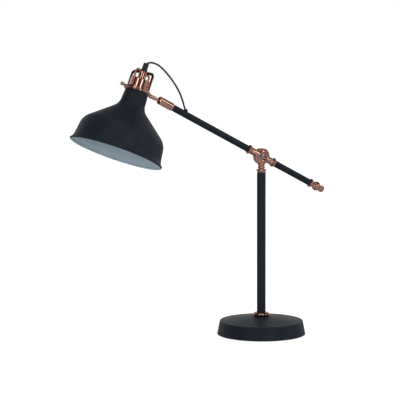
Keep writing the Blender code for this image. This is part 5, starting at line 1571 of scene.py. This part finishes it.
@dataclass
class Studio:
    """Pale floor, soft light and the camera."""

    bearing: float = math.radians(35.433)
    distance: float = 2.84707
    eye_height: float = 0.5281
    yaw: float = math.radians(32.957)
    pitch: float = math.radians(5.114)
    roll: float = math.radians(-0.197)
    lens: float = 126.465
    sensor: float = 36.0
    shift: tuple[float, float] = (-0.0019, 0.0019)
    floor_size: float = 40.0
    floor_bounce: str = "#9aa0a4"
    floor_lift: float = 0.30
    fill: tuple[float, float] = (0.45, 1.05)
    room: tuple[float, float] = (0.05, 0.85)
    ceiling: float = 0.12
    lights: tuple[Softbox, ...] = (
        Softbox("left_strip", 58, 20, 2.2, (0.42, 1.7), 2.6),
        Softbox("front_strip", 7, 16, 2.2, (0.42, 1.7), 2.6),
        Softbox("right_strip", -42, 20, 2.2, (0.26, 1.5), 3.4),
        Softbox("top_softbox", 20, 72, 2.0, (1.0, 1.0), 1.0))

    def camera(self) -> None:
        """Stand the camera at its bearing and point it at the lamp."""
        forward = Vector((math.sin(self.yaw) * math.cos(self.pitch),
                          math.cos(self.yaw) * math.cos(self.pitch), -math.sin(self.pitch)))
        level = Vector((math.cos(self.yaw), -math.sin(self.yaw), 0))
        upright = level.cross(forward)
        right = level * math.cos(self.roll) + upright * math.sin(self.roll)
        up = upright * math.cos(self.roll) - level * math.sin(self.roll)
        turn = Matrix((right, up, -forward)).transposed().to_4x4()
        place = Vector((-self.distance * math.sin(self.bearing),
                        -self.distance * math.cos(self.bearing), self.eye_height))
        lens = bpy.data.cameras.new("camera")
        lens.lens = self.lens
        lens.sensor_width = self.sensor
        lens.shift_x, lens.shift_y = self.shift
        lens.clip_end = 100.0
        eye = bpy.data.objects.new("camera", lens)
        bpy.context.scene.collection.objects.link(eye)
        eye.matrix_world = Matrix.Translation(place) @ turn
        bpy.context.scene.camera = eye

    def floor(self) -> None:
        """Lay a plain pale floor that gives little light back to the lamp."""
        half = self.floor_size / 2
        mesh = bpy.data.meshes.new("floor")
        mesh.from_pydata([(-half, -half, 0), (half, -half, 0), (half, half, 0), (-half, half, 0)],
                         [], [(0, 1, 2, 3)])
        sheet = add_object("floor", mesh)
        paper = bpy.data.materials.new("backdrop_paper")
        paper.use_nodes = True
        tree = paper.node_tree
        shader = tree.nodes["Principled BSDF"]
        shader.inputs["Roughness"].default_value = 1.0
        shader.inputs["Specular IOR Level"].default_value = 0.0
        shader.inputs["Emission Color"].default_value = (1, 1, 1, 1)
        sight = add_node(tree, "ShaderNodeLightPath")
        shade = add_node(tree, "ShaderNodeMix", {0: sight.outputs["Is Camera Ray"],
                                                 6: linear(self.floor_bounce),
                                                 7: linear("#fafafa")}, data_type="RGBA")
        lift = add_node(tree, "ShaderNodeMath", {0: sight.outputs["Is Camera Ray"],
                                                 1: self.floor_lift}, operation="MULTIPLY")
        tree.links.new(shade.outputs[2], shader.inputs["Base Color"])
        tree.links.new(lift.outputs[0], shader.inputs["Emission Strength"])
        mesh.materials.append(paper)

    def sky(self) -> None:
        """Stand a white backdrop behind the lamp in a room that is dim in front."""
        world = bpy.data.worlds.new("studio")
        world.use_nodes = True
        bpy.context.scene.world = world
        bpy.context.scene.view_settings.view_transform = "Standard"
        tree = world.node_tree
        tree.nodes.clear()
        sight = add_node(tree, "ShaderNodeLightPath")
        way = add_node(tree, "ShaderNodeTexCoord").outputs["Generated"]
        height = add_node(tree, "ShaderNodeSeparateXYZ", {0: way}).outputs["Z"]
        fill = add_node(tree, "ShaderNodeMapRange",
                        {"Value": height, "From Min": -0.1, "From Max": 1.0,
                         "To Min": self.fill[0], "To Max": self.fill[1]})
        depth = add_node(tree, "ShaderNodeVectorMath",
                         {0: way, 1: (math.sin(self.yaw), math.cos(self.yaw), 0)},
                         operation="DOT_PRODUCT")
        room = add_node(tree, "ShaderNodeMapRange",
                        {"Value": depth.outputs["Value"], "From Min": 0.0, "From Max": 0.8,
                         "To Min": self.room[0], "To Max": self.room[1]})
        above = add_node(tree, "ShaderNodeMapRange",
                         {"Value": height, "From Min": 0.25, "From Max": 0.65, "To Min": 1.0,
                          "To Max": self.ceiling})
        seen = add_node(tree, "ShaderNodeMath", {0: room.outputs[0], 1: above.outputs[0]},
                        operation="MULTIPLY")
        soft = add_node(tree, "ShaderNodeMix", {0: sight.outputs["Is Glossy Ray"],
                                                2: fill.outputs[0], 3: seen.outputs[0]})
        strength = add_node(tree, "ShaderNodeMix", {0: sight.outputs["Is Camera Ray"],
                                                    2: soft.outputs[0], 3: 1.0})
        backdrop = add_node(tree, "ShaderNodeBackground", {"Color": (1, 1, 1, 1),
                                                           "Strength": strength.outputs[0]})
        add_node(tree, "ShaderNodeOutputWorld", {"Surface": backdrop.outputs[0]})

    def build(self) -> None:
        """Set the studio up."""
        self.floor()
        self.sky()
        for light in self.lights:
            light.build()


def main() -> None:
    """Build the lamp's finished pieces in order."""
    logging.basicConfig(level=logging.INFO, format="%(message)s")
    studio = Studio()
    studio.camera()
    HeadCord().build()

    pivot = Vector(joint_facts("arm_tilt")["pos_m"])
    boom_way = Vector(joint_facts("boom_twist")["axis"])
    ball = Vector(joint_facts("head_tilt")["pos_m"])
    arm = aimed(pivot, boom_way)
    head = aimed(ball, Vector((math.sin(HEAD_LEAN), 0, math.cos(HEAD_LEAN))))

    knuckle = Knuckle()
    base = WeightedBase()
    pole = Pole()
    base.build(pole.radius)
    pole.build(base.pole_low(), knuckle, pivot)
    knuckle.build_fixing(pivot)
    joint = BallJoint()
    balanced = BalancedArm()
    balanced.build_arm(arm, knuckle)
    balanced.build_boom(arm, joint)

    carrier = ShadeCarrier()
    axis = Seat(Body.HEAD, head @ Matrix.Translation((-carrier.axis_reach, 0, 0)))
    joint.build(head, carrier.axis_reach - carrier.hoop_radius - carrier.boss_length - SEAT_GAP)
    shade = Shade()
    flange, cup_low = carrier.build(axis, joint.rod_radius, shade.wall)
    Lampholder().build(axis, carrier, cup_low, flange, shade.wall)
    shade.build(axis, carrier.cup_radius + 2 * RUN_GAP, flange)
    studio.build()


if __name__ == "__main__":
    main()
